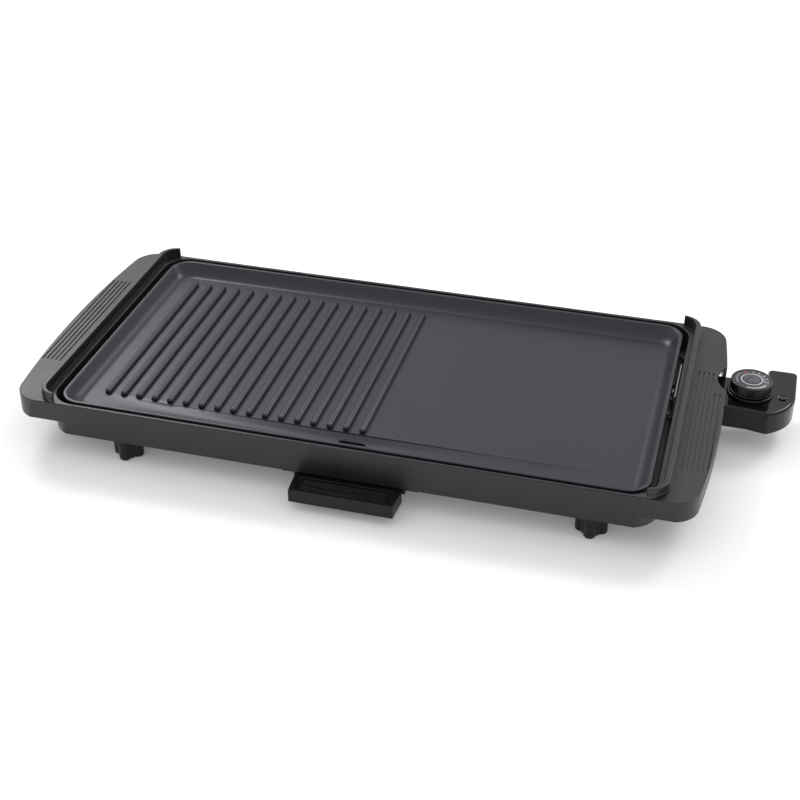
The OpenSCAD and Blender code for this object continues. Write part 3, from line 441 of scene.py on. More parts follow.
additions = ribs
column(additions, [(stadium(DRAIN_LEN + 2.6, DRAIN_W + 3.2), spout_z),
                   (stadium(DRAIN_LEN + 3.4, DRAIN_W + 4.0), spout_z + 0.5),
                   (stadium(DRAIN_LEN + 3.4, DRAIN_W + 4.0), under_z - 3.0)], drain_x, drain_y)
drain_cut = bmesh.new()
column(drain_cut, [(stadium(DRAIN_LEN, DRAIN_W), spout_z - 2),
                   (stadium(DRAIN_LEN, DRAIN_W), floor_z + 3)], drain_x, drain_y)
cast = combined(combined(cast, additions, "UNION"), drain_cut, "DIFFERENCE")
plate = finish_piece(cast, "griddle_plate_cast", "plate", "coated_aluminium", ("griddle_plate",))
plate.data.set_sharp_from_angle(angle=math.radians(32))

# %% [markdown]
# ## The frame
#
# The frame is one phenolic moulding: two bowed handles with grip grooves, a leaning wall along each side, a
# ledge round the plate, and a splash ridge at each end. Its shape is already right, so it is copied and
# softened. The grooves get a small radius, or they would melt into each other, and the outer edges that a
# hand meets get a larger one. The floors and sides of the grooves take a duller finish of their own, with a
# darker colour that is painted shade.

# %% Moulded frame
ridge_outer = half_x + 15.0
handle_out = (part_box("base_frame")[1].x - mid_x) / MM


def frame_radius(x, y, z):
    """Edge radii over the frame."""
    if z > rim_z + 0.3:
        return 0.7
    on_top = z > rim_z - 0.2
    in_grooves = on_top and ridge_outer + 2 < abs(x) < handle_out - 3 and abs(y) < 92
    if in_grooves or z > rim_z - 1.2 and not on_top:
        return 0.08
    if on_top:
        return 0.6
    return 0.35


def in_groove(x, y, z):
    """True for the floors and sides of the grip grooves, which take the painted shade."""
    return rim_z - 1.3 < z < rim_z - 0.1 and ridge_outer + 2 < abs(x) < handle_out - 2 and abs(y) < 95


# The grooves take the second finish, a darker colour of painted shade.
moulded_frame = softened("base_frame", frame_radius, "frame_moulding", painted_shade_at=in_groove)

# %% [markdown]
# Each foot is a clover of four posts round a screw hole, with well rounded bottoms. A clover's outline is
# the furthest of five circles in every direction, so it can be drawn with one short formula, and shrinking
# the circles gives the smaller rings of the rounded bottom.

# %% Feet
LOBE_R = 5.0
LOBE_OFF = 8.0
CORE_R = 9.4
FOOT_ROUND = 2.6
FOOT_STEPS = 96


def clover(shrink):
    """Outline of a foot, moved inwards by shrink."""
    points = []
    for i in range(FOOT_STEPS):
        a = math.tau * i / FOOT_STEPS
        nearest = round(a / (math.pi / 2)) * math.pi / 2
        off = a - nearest
        r = LOBE_R - shrink
        inside = r * r - (LOBE_OFF * math.sin(off)) ** 2
        lobe = LOBE_OFF * math.cos(off) + math.sqrt(inside) if inside > 0 else 0
        reach = max(CORE_R - shrink, lobe)
        points.append((reach * math.cos(a), reach * math.sin(a)))
    return points


def clover_foot(node):
    """A foot with a rounded bottom and a counterbored screw hole."""
    low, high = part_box(node)
    cx = ((low.x + high.x) / 2 - mid_x) / MM
    cy = ((low.y + high.y) / 2 - mid_y) / MM
    top = high.z / MM
    outlines = [(circle(1.7, FOOT_STEPS), 14.0), (circle(3.5, FOOT_STEPS), 14.0),
                (circle(3.5, FOOT_STEPS), 0.4), (circle(3.9, FOOT_STEPS), 0.0)]
    for i in range(7):
        a = math.radians(90 * i / 6)
        outlines.append((clover(FOOT_ROUND * (1 - math.sin(a))), FOOT_ROUND * (1 - math.cos(a))))
    outlines += [(clover(0.0), top - 0.3), (clover(0.3), top), (circle(1.7, FOOT_STEPS), top)]
    bm = bmesh.new()
    rings = [[bm.verts.new(place(cx + x, cy + y, z)) for x, y in outline] for outline, z in outlines]
    bridge(bm, rings + [rings[0]])
    return finish_piece(bm, node + "_clover", "base", "foot_plastic", (node,))


for end in ("front_left", "front_right", "back_left", "back_right"):
    clover_foot("foot_" + end).data.set_sharp_from_angle(angle=math.radians(40))

# %% [markdown]
# ## Drip tray, guard and control
#
# The tray's grip, the steel guard and the two halves of the control all have the right shape already. They
# are softened with their own radii: the control's upper half has a broad rounded shoulder, and the line
# where its halves meet is only just broken.

# %% Smaller moulded parts
shoulder_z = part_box("housing_lower")[1].z / MM + 10.0


def housing_radius(x, y, z):
    """Broad shoulder on the top, a fine line at the joint of the two halves."""
    if z > shoulder_z + 0.5:
        return 0.8
    if z > shoulder_z - 0.3:
        return 2.6
    if abs(z - (shoulder_z - 10.0)) < 0.3:
        return 0.1
    return 0.6


softened("housing_upper", housing_radius, segments=5)
softened("housing_lower", housing_radius, segments=3)
softened("drip_tray", lambda x, y, z: 0.45, segments=3)
softened("terminal_guard", lambda x, y, z: 0.15, segments=2)
softened("tray_rail_left", lambda x, y, z: 0.3, segments=2)
softened("tray_rail_right", lambda x, y, z: 0.3, segments=2)
softened("socket_carrier", lambda x, y, z: 0.4, segments=2)

# %% [markdown]
# The dial is a turned knob with a fine fluted side, a plain rounded rim and a sunk printed disc. A lathe
# section gives the body, and the flutes are a ripple in the radius of the rings between rim and skirt.

# %% Dial
knob_low, knob_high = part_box("dial_knob")
knob_x = ((knob_low.x + knob_high.x) / 2 - mid_x) / MM
knob_y = ((knob_low.y + knob_high.y) / 2 - mid_y) / MM
knob_r = (knob_high.x - knob_low.x) / 2 / MM
skirt_z = knob_low.z / MM
crown_z = knob_high.z / MM
FACE_R = 15.2
FLUTES = 48
FLUTE_DEPTH = 0.6
PER_FLUTE = 4


def dial_ring(bm, r, z, ripple=0.0):
    """A ring of the dial, with flutes where ripple is above zero."""
    count = FLUTES * PER_FLUTE
    ring = []
    for i in range(count):
        a = math.tau * i / count
        reach = r - ripple * (0.5 - 0.5 * math.cos(FLUTES * a))
        ring.append(bm.verts.new(place(knob_x + reach * math.cos(a), knob_y + reach * math.sin(a), z)))
    return ring


dial = bmesh.new()
dial_section = [(3.1, crown_z - 4.0, 0), (3.1, skirt_z + 1.4, 0), (5.5, skirt_z + 1.4, 0),
                (5.5, crown_z - 2.4, 0), (14.6, crown_z - 2.4, 0), (14.6, skirt_z, 0),
                (knob_r - 0.6, skirt_z, 0), (knob_r - 0.15, skirt_z + 0.4, 0), (knob_r - 0.02, skirt_z + 0.8, 0),
                (knob_r - 0.02, skirt_z + 1.0, FLUTE_DEPTH), (knob_r - 0.02, crown_z - 1.1, FLUTE_DEPTH),
                (knob_r - 0.02, crown_z - 0.9, 0), (knob_r - 0.1, crown_z - 0.5, 0),
                (knob_r - 0.4, crown_z - 0.1, 0), (knob_r - 0.7, crown_z, 0),
                (FACE_R + 0.15, crown_z, 0), (FACE_R, crown_z - 0.25, 0)]
dial_rings = [dial_ring(dial, *row) for row in dial_section]
bridge(dial, dial_rings)
dial.faces.new(dial_rings[0])
dial.faces.new(dial_rings[-1])
dial_piece = finish_piece(dial, "dial_knob_turned", "knob", "dial_gloss", ("dial_knob",))
dial_piece.data.set_sharp_from_angle(angle=math.radians(38))

# %% [markdown]
# The disc's markings are printed in a thin raised ink, so they are thin flat shapes that lie on the disc:
# a ring, arcs, a red stop mark and a scale of plain numbers that stands for the heat settings.

# %% Printed disc
face_z = crown_z - 0.25
disc = bmesh.new()
column(disc, [(circle(FACE_R - 0.05, 96), face_z - 0.5), (circle(FACE_R - 0.05, 96), face_z + 0.02),
              (circle(FACE_R - 0.15, 96), face_z + 0.06)], knob_x, knob_y)
disc_piece = finish_piece(disc, "dial_disc", "knob", "dial_print", ("dial_face",))
disc_piece.data.set_sharp_from_angle(angle=math.radians(30))
ink_z = face_z + 0.07
INK_T = 0.05


def ink_arc(bm, radius, width, start, end, steps=48):
    """A flat curved stroke between two angles, measured anticlockwise from the right."""
    sections = []
    for i in range(steps + 1):
        a = math.radians(start + (end - start) * i / steps)
        corners = [(radius - width / 2, ink_z), (radius + width / 2, ink_z),
                   (radius + width / 2, ink_z + INK_T), (radius - width / 2, ink_z + INK_T)]
        sections.append([bm.verts.new(place(knob_x + r * math.cos(a), knob_y + r * math.sin(a), z))
                         for r, z in corners])
    if abs(end - start) >= 360:
        bridge(bm, sections[:-1] + [sections[0]])
        bmesh.ops.delete(bm, geom=sections[-1], context="VERTS")
    else:
        bridge(bm, sections)
        bm.faces.new(sections[0])
        bm.faces.new(sections[-1])


white_ink = bmesh.new()
ink_arc(white_ink, 8.7, 0.65, 0, 360, 96)
ink_arc(white_ink, 13.6, 0.9, -106, -30)
for number in range(12):
    angle = 90 - number * 9
    ink_arc(white_ink, 10.4, 0.9 + 0.06 * number, angle - 1.3, angle + 1.3, 3)
finish_piece(white_ink, "dial_marks_white", "knob", "dial_print")
red_ink = bmesh.new()
ink_arc(red_ink, 12.2, 3.2, 108, 131, 14)
finish_piece(red_ink, "dial_mark_stop", "knob", "dial_print")
grey_ink = bmesh.new()
ink_arc(grey_ink, 12.6, 1.5, 142, 212, 32)
ink_arc(grey_ink, 5.6, 0.6, -40, 190, 32)
ink_arc(grey_ink, 3.4, 0.9, -150, 80, 32)
ink_arc(grey_ink, 1.0, 0.9, 0, 350, 16)
finish_piece(grey_ink, "dial_marks_grey", "knob", "dial_print")


# %% Numbers on the scale
def printed_number(text, angle):
    """A number on the disc, read from outside, as a thin flat mesh."""
    letters = bpy.data.curves.new("number_" + text, "FONT")
    letters.body = text
    letters.size = 3.6 * MM
    letters.extrude = INK_T * MM / 2
    letters.align_x = "CENTER"
    letters.align_y = "CENTER"
    source = bpy.data.objects.new("number_" + text, letters)
    bpy.context.scene.collection.objects.link(source)
    mesh = bpy.data.meshes.new_from_object(source)
    bpy.data.objects.remove(source)
    a = math.radians(angle)
    spot = place(knob_x + 12.7 * math.cos(a), knob_y + 12.7 * math.sin(a), ink_z + INK_T / 2)
    mesh.transform(Matrix.Translation(spot) @ Matrix.Rotation(a - math.pi / 2, 4, "Z"))
    bm = bmesh.new()
    bm.from_mesh(mesh)
    bmesh.ops.remove_doubles(bm, verts=bm.verts, dist=1e-7)
    return finish_piece(bm, "dial_number_" + text, "knob", "dial_print")


for number in range(5):
    printed_number(str(number + 1), 88 - number * 24)

# %% [markdown]
# ## Finishes
#
# Effects that several finishes share are node groups with named inputs: the fine grain of a textured mould,
# the cloudy haze that handling leaves, the lines of drawn metal and a painted highlight along rounded edges.
# The shaders stay in the materials themselves, and a value that is the same all over a surface is set on its
# socket.

# %% Building a node group
def make_group(name, inputs, outputs):
    """An empty shader group with float inputs and outputs, and its two end nodes."""
    group = bpy.data.node_groups.new(name, "ShaderNodeTree")
    for label, value in inputs:
        socket = group.interface.new_socket(name=label, in_out="INPUT", socket_type="NodeSocketFloat")
        socket.default_value = value
    for label in outputs:
        group.interface.new_socket(name=label, in_out="OUTPUT", socket_type="NodeSocketFloat")
    return group, group.nodes.new("NodeGroupInput"), group.nodes.new("NodeGroupOutput")


def add(tree, kind, **settings):
    """A node of a kind, with plain settings on it."""
    node = tree.nodes.new(kind)
    for key, value in settings.items():
        setattr(node, key, value)
    return node


# %% Mould grain
grain, grain_in, grain_out = make_group("Mould Grain", [("Scale", 900.0), ("Contrast", 1.0)],
                                        ["Height", "Fleck"])
spot = add(grain, "ShaderNodeTexCoord")
fine = add(grain, "ShaderNodeTexNoise")
fine.inputs["Detail"].default_value = 4.0
cells = add(grain, "ShaderNodeTexVoronoi", feature="SMOOTH_F1")
mixed = add(grain, "ShaderNodeMath", operation="MULTIPLY_ADD")
strength = add(grain, "ShaderNodeMath", operation="MULTIPLY")
grain.links.new(spot.outputs["Object"], fine.inputs["Vector"])
grain.links.new(spot.outputs["Object"], cells.inputs["Vector"])
grain.links.new(grain_in.outputs["Scale"], fine.inputs["Scale"])
grain.links.new(grain_in.outputs["Scale"], cells.inputs["Scale"])
grain.links.new(cells.outputs["Distance"], mixed.inputs[0])
mixed.inputs[1].default_value = 0.6
grain.links.new(fine.outputs["Fac"], mixed.inputs[2])
grain.links.new(mixed.outputs[0], strength.inputs[0])
grain.links.new(grain_in.outputs["Contrast"], strength.inputs[1])
grain.links.new(strength.outputs[0], grain_out.inputs["Height"])
grain.links.new(fine.outputs["Fac"], grain_out.inputs["Fleck"])
print("group:", grain.name)

# %% Handling haze
haze, haze_in, haze_out = make_group("Handling Haze", [("Scale", 14.0), ("Low", 0.4), ("High", 0.5)],
                                     ["Roughness", "Cloud"])
spot = add(haze, "ShaderNodeTexCoord")
cloud = add(haze, "ShaderNodeTexNoise")
cloud.inputs["Detail"].default_value = 5.0
cloud.inputs["Distortion"].default_value = 0.6
spread = add(haze, "ShaderNodeMapRange")
spread.inputs["From Min"].default_value = 0.3
spread.inputs["From Max"].default_value = 0.7
haze.links.new(spot.outputs["Object"], cloud.inputs["Vector"])
haze.links.new(haze_in.outputs["Scale"], cloud.inputs["Scale"])
haze.links.new(cloud.outputs["Fac"], spread.inputs["Value"])
haze.links.new(haze_in.outputs["Low"], spread.inputs["To Min"])
haze.links.new(haze_in.outputs["High"], spread.inputs["To Max"])
haze.links.new(spread.outputs["Result"], haze_out.inputs["Roughness"])
haze.links.new(cloud.outputs["Fac"], haze_out.inputs["Cloud"])
print("group:", haze.name)

# %% Painted edge highlight
# Painted highlight: where the bevel normal turns from the face normal, on rounded edges, this mask lets a
# lighter colour stand in for the light those edges catch.
edge_highlight_group, edge_highlight_in, edge_highlight_out = make_group("Worn Edges", [("Radius", 0.0006), ("Amount", 1.0)], ["Mask"])
rounded = add(edge_highlight_group, "ShaderNodeBevel", samples=4)
here = add(edge_highlight_group, "ShaderNodeNewGeometry")
facing = add(edge_highlight_group, "ShaderNodeVectorMath", operation="DOT_PRODUCT")
turned = add(edge_highlight_group, "ShaderNodeMapRange")
turned.inputs["From Min"].default_value = 0.995
turned.inputs["From Max"].default_value = 0.85
highlight_amount = add(edge_highlight_group, "ShaderNodeMath", operation="MULTIPLY")
edge_highlight_group.links.new(edge_highlight_in.outputs["Radius"], rounded.inputs["Radius"])
edge_highlight_group.links.new(rounded.outputs["Normal"], facing.inputs[0])
edge_highlight_group.links.new(here.outputs["Normal"], facing.inputs[1])
edge_highlight_group.links.new(facing.outputs["Value"], turned.inputs["Value"])
edge_highlight_group.links.new(turned.outputs["Result"], highlight_amount.inputs[0])
edge_highlight_group.links.new(edge_highlight_in.outputs["Amount"], highlight_amount.inputs[1])
edge_highlight_group.links.new(highlight_amount.outputs[0], edge_highlight_out.inputs["Mask"])
print("group:", edge_highlight_group.name)

# %% Drawn lines
drawn, drawn_in, drawn_out = make_group(
    "Drawn Lines", [("Along X", 20.0), ("Along Y", 900.0), ("Along Z", 900.0)], ["Height", "Streak"])
spot = add(drawn, "ShaderNodeTexCoord")
stretch = add(drawn, "ShaderNodeCombineXYZ")
pulled = add(drawn, "ShaderNodeVectorMath", operation="MULTIPLY")
lines = add(drawn, "ShaderNodeTexNoise")
lines.inputs["Scale"].default_value = 1.0
lines.inputs["Detail"].default_value = 3.0
for axis in "XYZ":
    drawn.links.new(drawn_in.outputs["Along " + axis], stretch.inputs[axis])
drawn.links.new(spot.outputs["Object"], pulled.inputs[0])
drawn.links.new(stretch.outputs[0], pulled.inputs[1])
drawn.links.new(pulled.outputs[0], lines.inputs["Vector"])
drawn.links.new(lines.outputs["Fac"], drawn_out.inputs["Height"])
drawn.links.new(lines.outputs["Fac"], drawn_out.inputs["Streak"])
print("group:", drawn.name)


# %% Parts of a material
def new_material(name):
    """A material with an empty tree, its shader and its output."""
    material = bpy.data.materials.new(name)
    material.use_nodes = True
    tree = material.node_tree
    tree.nodes.clear()
    shader = add(tree, "ShaderNodeBsdfPrincipled")
    output = add(tree, "ShaderNodeOutputMaterial")
    tree.links.new(shader.outputs["BSDF"], output.inputs["Surface"])
    return material, tree, shader


def use(tree, group, **values):
    """A group node with its own values; an underscore in a name stands for a space."""
    node = add(tree, "ShaderNodeGroup", node_tree=group)
    for key, value in values.items():
        node.inputs[key.replace("_", " ")].default_value = value
    return node


def tint(tree, factor, low, high):
    """A colour that runs from low to high with a factor."""
    mix = add(tree, "ShaderNodeMix", data_type="RGBA")
    mix.inputs["A"].default_value = (*low, 1)
    mix.inputs["B"].default_value = (*high, 1)
    tree.links.new(factor, mix.inputs["Factor"])
    return mix


def bump(tree, shader, height, distance, strength=1.0):
    """Surface relief of a depth in metres."""
    node = add(tree, "ShaderNodeBump")
    node.inputs["Distance"].default_value = distance
    node.inputs["Strength"].default_value = strength
    tree.links.new(height, node.inputs["Height"])
    tree.links.new(node.outputs["Normal"], shader.inputs["Normal"])


# %% [markdown]
# ### Moulded plastics
#
# A textured moulding scatters light from a very fine grain, while a polished one mirrors the room with a
# faint cloudiness. Both come from one function with different grain, haze and painted edge highlight values.

# %% Moulded plastic
def moulded_plastic(name, dark, light, haze_range, grain_scale, relief, shine=0.5, edge=0.0,
                    highlight_colour=None):
    """Moulded plastic: two close shades, a roughness range, grain size, relief, shine and a painted edge
    highlight.
    """
    material, tree, shader = new_material(name)
    clouds = use(tree, haze, Scale=16.0, Low=haze_range[0], High=haze_range[1])
    texture = use(tree, grain, Scale=grain_scale, Contrast=1.0)
    colour = tint(tree, clouds.outputs["Cloud"], dark, light)
    shown = colour.outputs["Result"]
    # Painted highlight: rounded edges are mixed towards a lighter colour, standing in for the light they catch.
    if edge:
        edge_highlight = use(tree, edge_highlight_group, Radius=0.0007, Amount=edge)
        highlighted_colour = add(tree, "ShaderNodeMix", data_type="RGBA")
        highlighted_colour.inputs["B"].default_value = (*highlight_colour, 1)
        tree.links.new(shown, highlighted_colour.inputs["A"])
        tree.links.new(edge_highlight.outputs["Mask"], highlighted_colour.inputs["Factor"])
        shown = highlighted_colour.outputs["Result"]
    tree.links.new(shown, shader.inputs["Base Color"])
    tree.links.new(clouds.outputs["Roughness"], shader.inputs["Roughness"])
    shader.inputs["Specular IOR Level"].default_value = shine
    shader.inputs["Specular Tint"].default_value = (0.93, 0.97, 1.0, 1)
    bump(tree, shader, texture.outputs["Height"], relief)
    return material


# The frame and the tray take a lighter colour on their rounded edges, a painted highlight.
finishes = {
    "frame_plastic": moulded_plastic("phenolic frame", (0.007, 0.008, 0.009), (0.010, 0.011, 0.012),
                                     (0.36, 0.44), 1500, 0.00003, 0.5, 0.5, (0.030, 0.032, 0.034)),
    "foot_plastic": moulded_plastic("foot plastic", (0.004, 0.004, 0.004), (0.006, 0.006, 0.006),
                                    (0.30, 0.40), 1200, 0.00002, 0.3),
    "tray_plastic": moulded_plastic("tray plastic", (0.004, 0.004, 0.004), (0.006, 0.006, 0.006),
                                    (0.38, 0.46), 1300, 0.00002, 0.3, 0.3, (0.014, 0.014, 0.015)),
    "control_gloss": moulded_plastic("control gloss", (0.002, 0.002, 0.002), (0.003, 0.003, 0.003),
                                     (0.10, 0.17), 700, 0.000004, 0.33),
    "dial_gloss": moulded_plastic("dial moulding", (0.003, 0.003, 0.003), (0.004, 0.004, 0.004),
                                  (0.30, 0.38), 900, 0.000006, 0.5),
    "dial_print": moulded_plastic("dial disc", (0.030, 0.032, 0.036), (0.036, 0.038, 0.042),
                                  (0.30, 0.38), 1200, 0.000006, 0.45),
    "carrier_resin": moulded_plastic("carrier resin", (0.055, 0.032, 0.018), (0.075, 0.045, 0.026),
                                     (0.45, 0.6), 1100, 0.00003, 0.4),
    "rubber_black": moulded_plastic("soft rubber", (0.010, 0.010, 0.010), (0.016, 0.016, 0.016),
                                    (0.62, 0.75), 1600, 0.00004, 0.3),
    "lens_red": moulded_plastic("smoked red lens", (0.012, 0.002, 0.002), (0.018, 0.003, 0.003),
                                (0.05, 0.10), 600, 0.000003, 0.6),
}
print("plastics:", len(finishes))


# %% [markdown]
# ### Non-stick coating
#
# A non-stick coat is sprayed on and baked. It lies over blasted aluminium, so it has a soft sheen, a faint
# orange-peel relief and tiny pale flecks of mineral filler.

# %% Coated plate
def nonstick_coat():
    """Sprayed coating with peel and flecks."""
    material, tree, shader = new_material("non-stick coat")
    peel = use(tree, grain, Scale=650.0, Contrast=1.0)
    clouds = use(tree, haze, Scale=9.0, Low=0.32, High=0.40)
    flecks = use(tree, grain, Scale=2600.0, Contrast=1.0)
    fleck_mask = add(tree, "ShaderNodeMapRange")
    fleck_mask.inputs["From Min"].default_value = 0.60
    fleck_mask.inputs["From Max"].default_value = 0.72
    fleck_mask.inputs["To Max"].default_value = 0.5
    base = tint(tree, clouds.outputs["Cloud"], (0.009, 0.010, 0.013), (0.013, 0.014, 0.018))
    shown = add(tree, "ShaderNodeMix", data_type="RGBA")
    shown.inputs["B"].default_value = (0.028, 0.029, 0.031, 1)
    tree.links.new(flecks.outputs["Fleck"], fleck_mask.inputs["Value"])
    tree.links.new(fleck_mask.outputs["Result"], shown.inputs["Factor"])
    tree.links.new(base.outputs["Result"], shown.inputs["A"])
    tree.links.new(shown.outputs["Result"], shader.inputs["Base Color"])
    tree.links.new(clouds.outputs["Roughness"], shader.inputs["Roughness"])
    shader.inputs["Specular IOR Level"].default_value = 0.45
    shader.inputs["Specular Tint"].default_value = (0.94, 0.95, 1.0, 1)
    bump(tree, shader, peel.outputs["Height"], 0.00002)
    return material


finishes["coated_aluminium"] = nonstick_coat()


# %% [markdown]
# ### Metals
#
# Rolled, drawn and turned metals differ mostly in the direction of their fine lines and in how clean they
# are. One function takes the colour, the roughness range and how the lines are stretched.

# %% Drawn, rolled and turned metal
def worked_metal(name, dark, light, rough, stretch, relief=0.000006, metal=1.0):
    """Metal with fine lines: two shades, a roughness range and the line density along each axis."""
    material, tree, shader = new_material(name)
    streaks = use(tree, drawn, Along_X=stretch[0], Along_Y=stretch[1], Along_Z=stretch[2])
    clouds = use(tree, haze, Scale=22.0, Low=rough[0], High=rough[1])
    colour = tint(tree, streaks.outputs["Streak"], dark, light)
    tree.links.new(colour.outputs["Result"], shader.inputs["Base Color"])
    tree.links.new(clouds.outputs["Roughness"], shader.inputs["Roughness"])
    shader.inputs["Metallic"].default_value = metal
    bump(tree, shader, streaks.outputs["Height"], relief)
    return material


ROLLED = (25.0, 1400.0, 1400.0)
TURNED = (900.0, 900.0, 60.0)
finishes.update({
    # Painted shade: the pan sheet is coloured far darker than bare steel, so the gap round the plate shows dark.
    "pan_steel": worked_metal("heat-dulled pan sheet", (0.10, 0.10, 0.105), (0.16, 0.16, 0.165), (0.42, 0.55),
                              ROLLED),
    "bracket_steel": worked_metal("zinc strip", (0.42, 0.43, 0.45), (0.58, 0.59, 0.60), (0.34, 0.46), ROLLED),
    "screw_steel": worked_metal("zinc screws", (0.45, 0.46, 0.48), (0.62, 0.63, 0.65), (0.25, 0.38), TURNED),
    "element_steel": worked_metal("heat-tinted tube", (0.10, 0.085, 0.075), (0.24, 0.22, 0.20), (0.38, 0.55),
                                  (60.0, 60.0, 300.0)),
    "guard_steel": worked_metal("dull guard sheet", (0.20, 0.205, 0.21), (0.26, 0.265, 0.27), (0.42, 0.52),
                                ROLLED, metal=0.0),
    "brass_parts": worked_metal("turned brass", (0.55, 0.40, 0.16), (0.70, 0.53, 0.24), (0.22, 0.34), TURNED),
    "probe_steel": worked_metal("polished tube", (0.58, 0.59, 0.60), (0.70, 0.71, 0.72), (0.14, 0.24),
                                ROLLED),
    "copper_blade": worked_metal("rolled copper strip", (0.50, 0.24, 0.12), (0.64, 0.33, 0.18), (0.26, 0.38),
                                 ROLLED),
    "silver_contact": worked_metal("contact buttons", (0.66, 0.66, 0.64), (0.80, 0.80, 0.78), (0.18, 0.28),
                                   TURNED),
})


# %% Ceramic and lamp glass
def fired_ceramic(name, dark, light):
    """Unglazed ceramic with a fine bisque surface."""
    material, tree, shader = new_material(name)
    body = use(tree, grain, Scale=1100.0, Contrast=1.0)
    clouds = use(tree, haze, Scale=30.0, Low=0.6, High=0.75)
    colour = tint(tree, body.outputs["Fleck"], dark, light)
    tree.links.new(colour.outputs["Result"], shader.inputs["Base Color"])
    tree.links.new(clouds.outputs["Roughness"], shader.inputs["Roughness"])
    bump(tree, shader, body.outputs["Height"], 0.00004)
    return material


def lamp_envelope():
    """Thin clear glass with a faint smoky cast."""
    material, tree, shader = new_material("lamp glass")
    clouds = use(tree, haze, Scale=60.0, Low=0.02, High=0.08)
    colour = tint(tree, clouds.outputs["Cloud"], (0.86, 0.62, 0.48), (0.94, 0.74, 0.60))
    tree.links.new(colour.outputs["Result"], shader.inputs["Base Color"])
    tree.links.new(clouds.outputs["Roughness"], shader.inputs["Roughness"])
    shader.inputs["Transmission Weight"].default_value = 0.9
    shader.inputs["IOR"].default_value = 1.47
    return material


finishes["ceramic_block"] = fired_ceramic("terminal ceramic", (0.62, 0.60, 0.54), (0.74, 0.72, 0.66))
finishes["insulator_ceramic"] = fired_ceramic("ring ceramic", (0.56, 0.54, 0.49), (0.68, 0.66, 0.60))
finishes["lamp_glass"] = lamp_envelope()


# %% [markdown]
# Inks, the pins in painted shade and the painted shade of the grooves belong to single pieces, so they are kept
# under the pieces' own names and win over the finish of the slot.

# %% Finishes of single pieces
def printed_ink(name, dark, light):
    """A thin matt ink in two close shades."""
    return moulded_plastic(name, dark, light, (0.4, 0.5), 900, 0.000004)


inks = {
    "dial_marks_white": printed_ink("white ink", (0.62, 0.63, 0.64), (0.72, 0.73, 0.74)),
    "dial_marks_grey": printed_ink("grey ink", (0.13, 0.135, 0.14), (0.17, 0.175, 0.18)),
    "dial_mark_stop": printed_ink("red ink", (0.15, 0.045, 0.05), (0.19, 0.06, 0.065)),
}
own_finish = dict(inks)
# Painted shade: the pins are coloured much darker than plating, so they stay dark in the gap by the plate.
pin_painted_shade = worked_metal("plated pins", (0.16, 0.155, 0.15), (0.22, 0.215, 0.20), (0.4, 0.5), TURNED)
own_finish.update({"terminal_pin_front": pin_painted_shade, "terminal_pin_back": pin_painted_shade})
# Painted shade: the grooves are coloured darker than the frame, standing in for the shade that falls in them.
groove_painted_shade = moulded_plastic("groove floors", (0.002, 0.002, 0.003), (0.003, 0.003, 0.004), (0.6, 0.7),
                               1500, 0.00003, 0.12)
print("finishes of single pieces:", len(own_finish) + 1)

# %% Putting each finish on its pieces
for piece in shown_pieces():
    material = own_finish.get(piece.name) or finishes[piece.get("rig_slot") or slot_of_node[piece.name]]
    if piece.name.startswith("dial_number_"):
        material = inks["dial_marks_white"]
    piece.data.materials.clear()
    piece.data.materials.append(material)
# The frame's second finish is the painted groove shade.
moulded_frame.data.materials.append(groove_painted_shade)

# %% [markdown]
# ## Studio
#
# The floor is a plain pale sweep. A dark satin object is drawn by what it mirrors, so the room itself is the
# main light: pale all round and a little brighter towards the ceiling. Two broad panels behind, high on the
# left and right, are mirrored by the level tops, which would otherwise be as dark as the walls.

# %% Floor
FLOOR_HALF = 9.0
floor_mesh = bmesh.new()
bmesh.ops.create_grid(floor_mesh, x_segments=8, y_segments=8, size=FLOOR_HALF)
floor_data = bpy.data.meshes.new("studio_floor")
floor_mesh.to_mesh(floor_data)
floor_mesh.free()
floor = bpy.data.objects.new("studio_floor", floor_data)
bpy.context.scene.collection.objects.link(floor)
floor_finish, floor_tree, floor_shader = new_material("pale sweep")
floor_haze = use(floor_tree, haze, Scale=1.5, Low=0.75, High=0.85)
floor_colour = tint(floor_tree, floor_haze.outputs["Cloud"], (0.84, 0.84, 0.84), (0.86, 0.86, 0.86))
floor_tree.links.new(floor_colour.outputs["Result"], floor_shader.inputs["Base Color"])
floor_tree.links.new(floor_haze.outputs["Roughness"], floor_shader.inputs["Roughness"])
floor_shader.inputs["Specular IOR Level"].default_value = 0.1
floor_shader.inputs["Emission Color"].default_value = (1, 1, 1, 1)
floor_shader.inputs["Emission Strength"].default_value = 0.12
floor_data.materials.append(floor_finish)


# %% Soft panels
def soft_panel(name, spot, aim, width, height, power):
    """A rectangular light that faces a point."""
    data = bpy.data.lights.new(name, "AREA")
    data.shape = "RECTANGLE"
    data.size = width
    data.size_y = height
    data.energy = power
    lamp = bpy.data.objects.new(name, data)
    lamp.location = spot
    lamp.rotation_mode = "QUATERNION"
    lamp.rotation_quaternion = (Vector(aim) - Vector(spot)).to_track_quat("-Z", "Y")
    bpy.context.scene.collection.objects.link(lamp)
    return lamp


PANEL = 0.9
soft_panel("left key", (-1.5, 1.5, 1.9), (0, 0, 0), PANEL, PANEL, 27)
soft_panel("right key", (1.3, 1.7, 1.9), (0, 0, 0), PANEL, PANEL, 22)

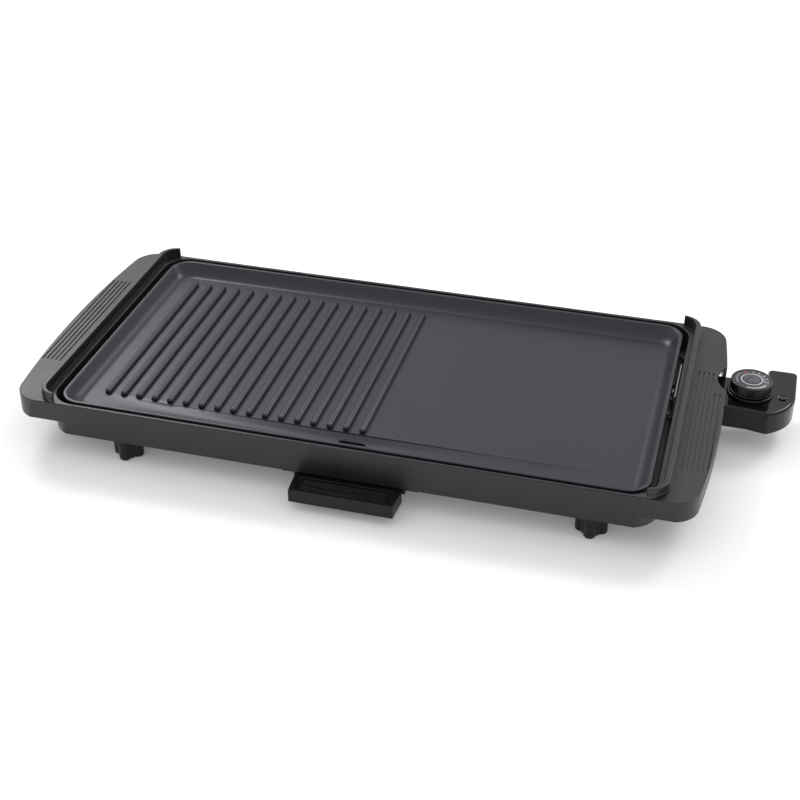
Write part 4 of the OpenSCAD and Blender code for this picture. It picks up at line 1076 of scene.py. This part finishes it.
# %% Room light that rises towards the ceiling
LOW_GLOW = 0.7
HIGH_GLOW = 1.05
room = bpy.data.worlds.new("studio room")
room.use_nodes = True
sky = room.node_tree
direction = add(sky, "ShaderNodeTexCoord")
parts = add(sky, "ShaderNodeSeparateXYZ")
rise = add(sky, "ShaderNodeMapRange")
rise.inputs["From Min"].default_value = 0.42
rise.inputs["From Max"].default_value = 0.62
rise.inputs["To Min"].default_value = LOW_GLOW
rise.inputs["To Max"].default_value = HIGH_GLOW
sky.links.new(direction.outputs["Generated"], parts.inputs[0])
sky.links.new(parts.outputs["Z"], rise.inputs["Value"])
sky.links.new(rise.outputs["Result"], sky.nodes["Background"].inputs["Strength"])
sky.nodes["Background"].inputs["Color"].default_value = (0.98, 0.99, 1.0, 1)
bpy.context.scene.world = room
bpy.context.scene.view_settings.view_transform = "Standard"

# %% [markdown]
# ## Camera
#
# The camera looks down on the griddle from the front right, a little over a metre away. A lens about 65 mm
# long keeps the far handle from shrinking too much, and a slight roll is kept.

# %% Camera
CAMERA_AZIMUTH = math.radians(15.02)
CAMERA_ELEVATION = math.radians(32.79)
CAMERA_ROLL = math.radians(0.37)
CAMERA_SPOT = (0.26398, -1.02373, 0.70533)
camera_data = bpy.data.cameras.new("studio camera")
camera_data.lens = 65.53
camera_data.sensor_width = 36.0
camera_data.clip_start = 0.05
camera = bpy.data.objects.new("studio camera", camera_data)
back = Vector((math.sin(CAMERA_AZIMUTH) * math.cos(CAMERA_ELEVATION),
               -math.cos(CAMERA_AZIMUTH) * math.cos(CAMERA_ELEVATION), math.sin(CAMERA_ELEVATION)))
level = Vector((math.cos(CAMERA_AZIMUTH), math.sin(CAMERA_AZIMUTH), 0))
upright = back.cross(level)
right = level * math.cos(CAMERA_ROLL) + upright * math.sin(CAMERA_ROLL)
up = upright * math.cos(CAMERA_ROLL) - level * math.sin(CAMERA_ROLL)
turn = Matrix((right, up, back)).transposed().to_4x4()
camera.matrix_world = Matrix.Translation(CAMERA_SPOT) @ turn
bpy.context.scene.collection.objects.link(camera)
bpy.context.scene.camera = camera
print("camera at", tuple(round(v, 3) for v in camera.location))
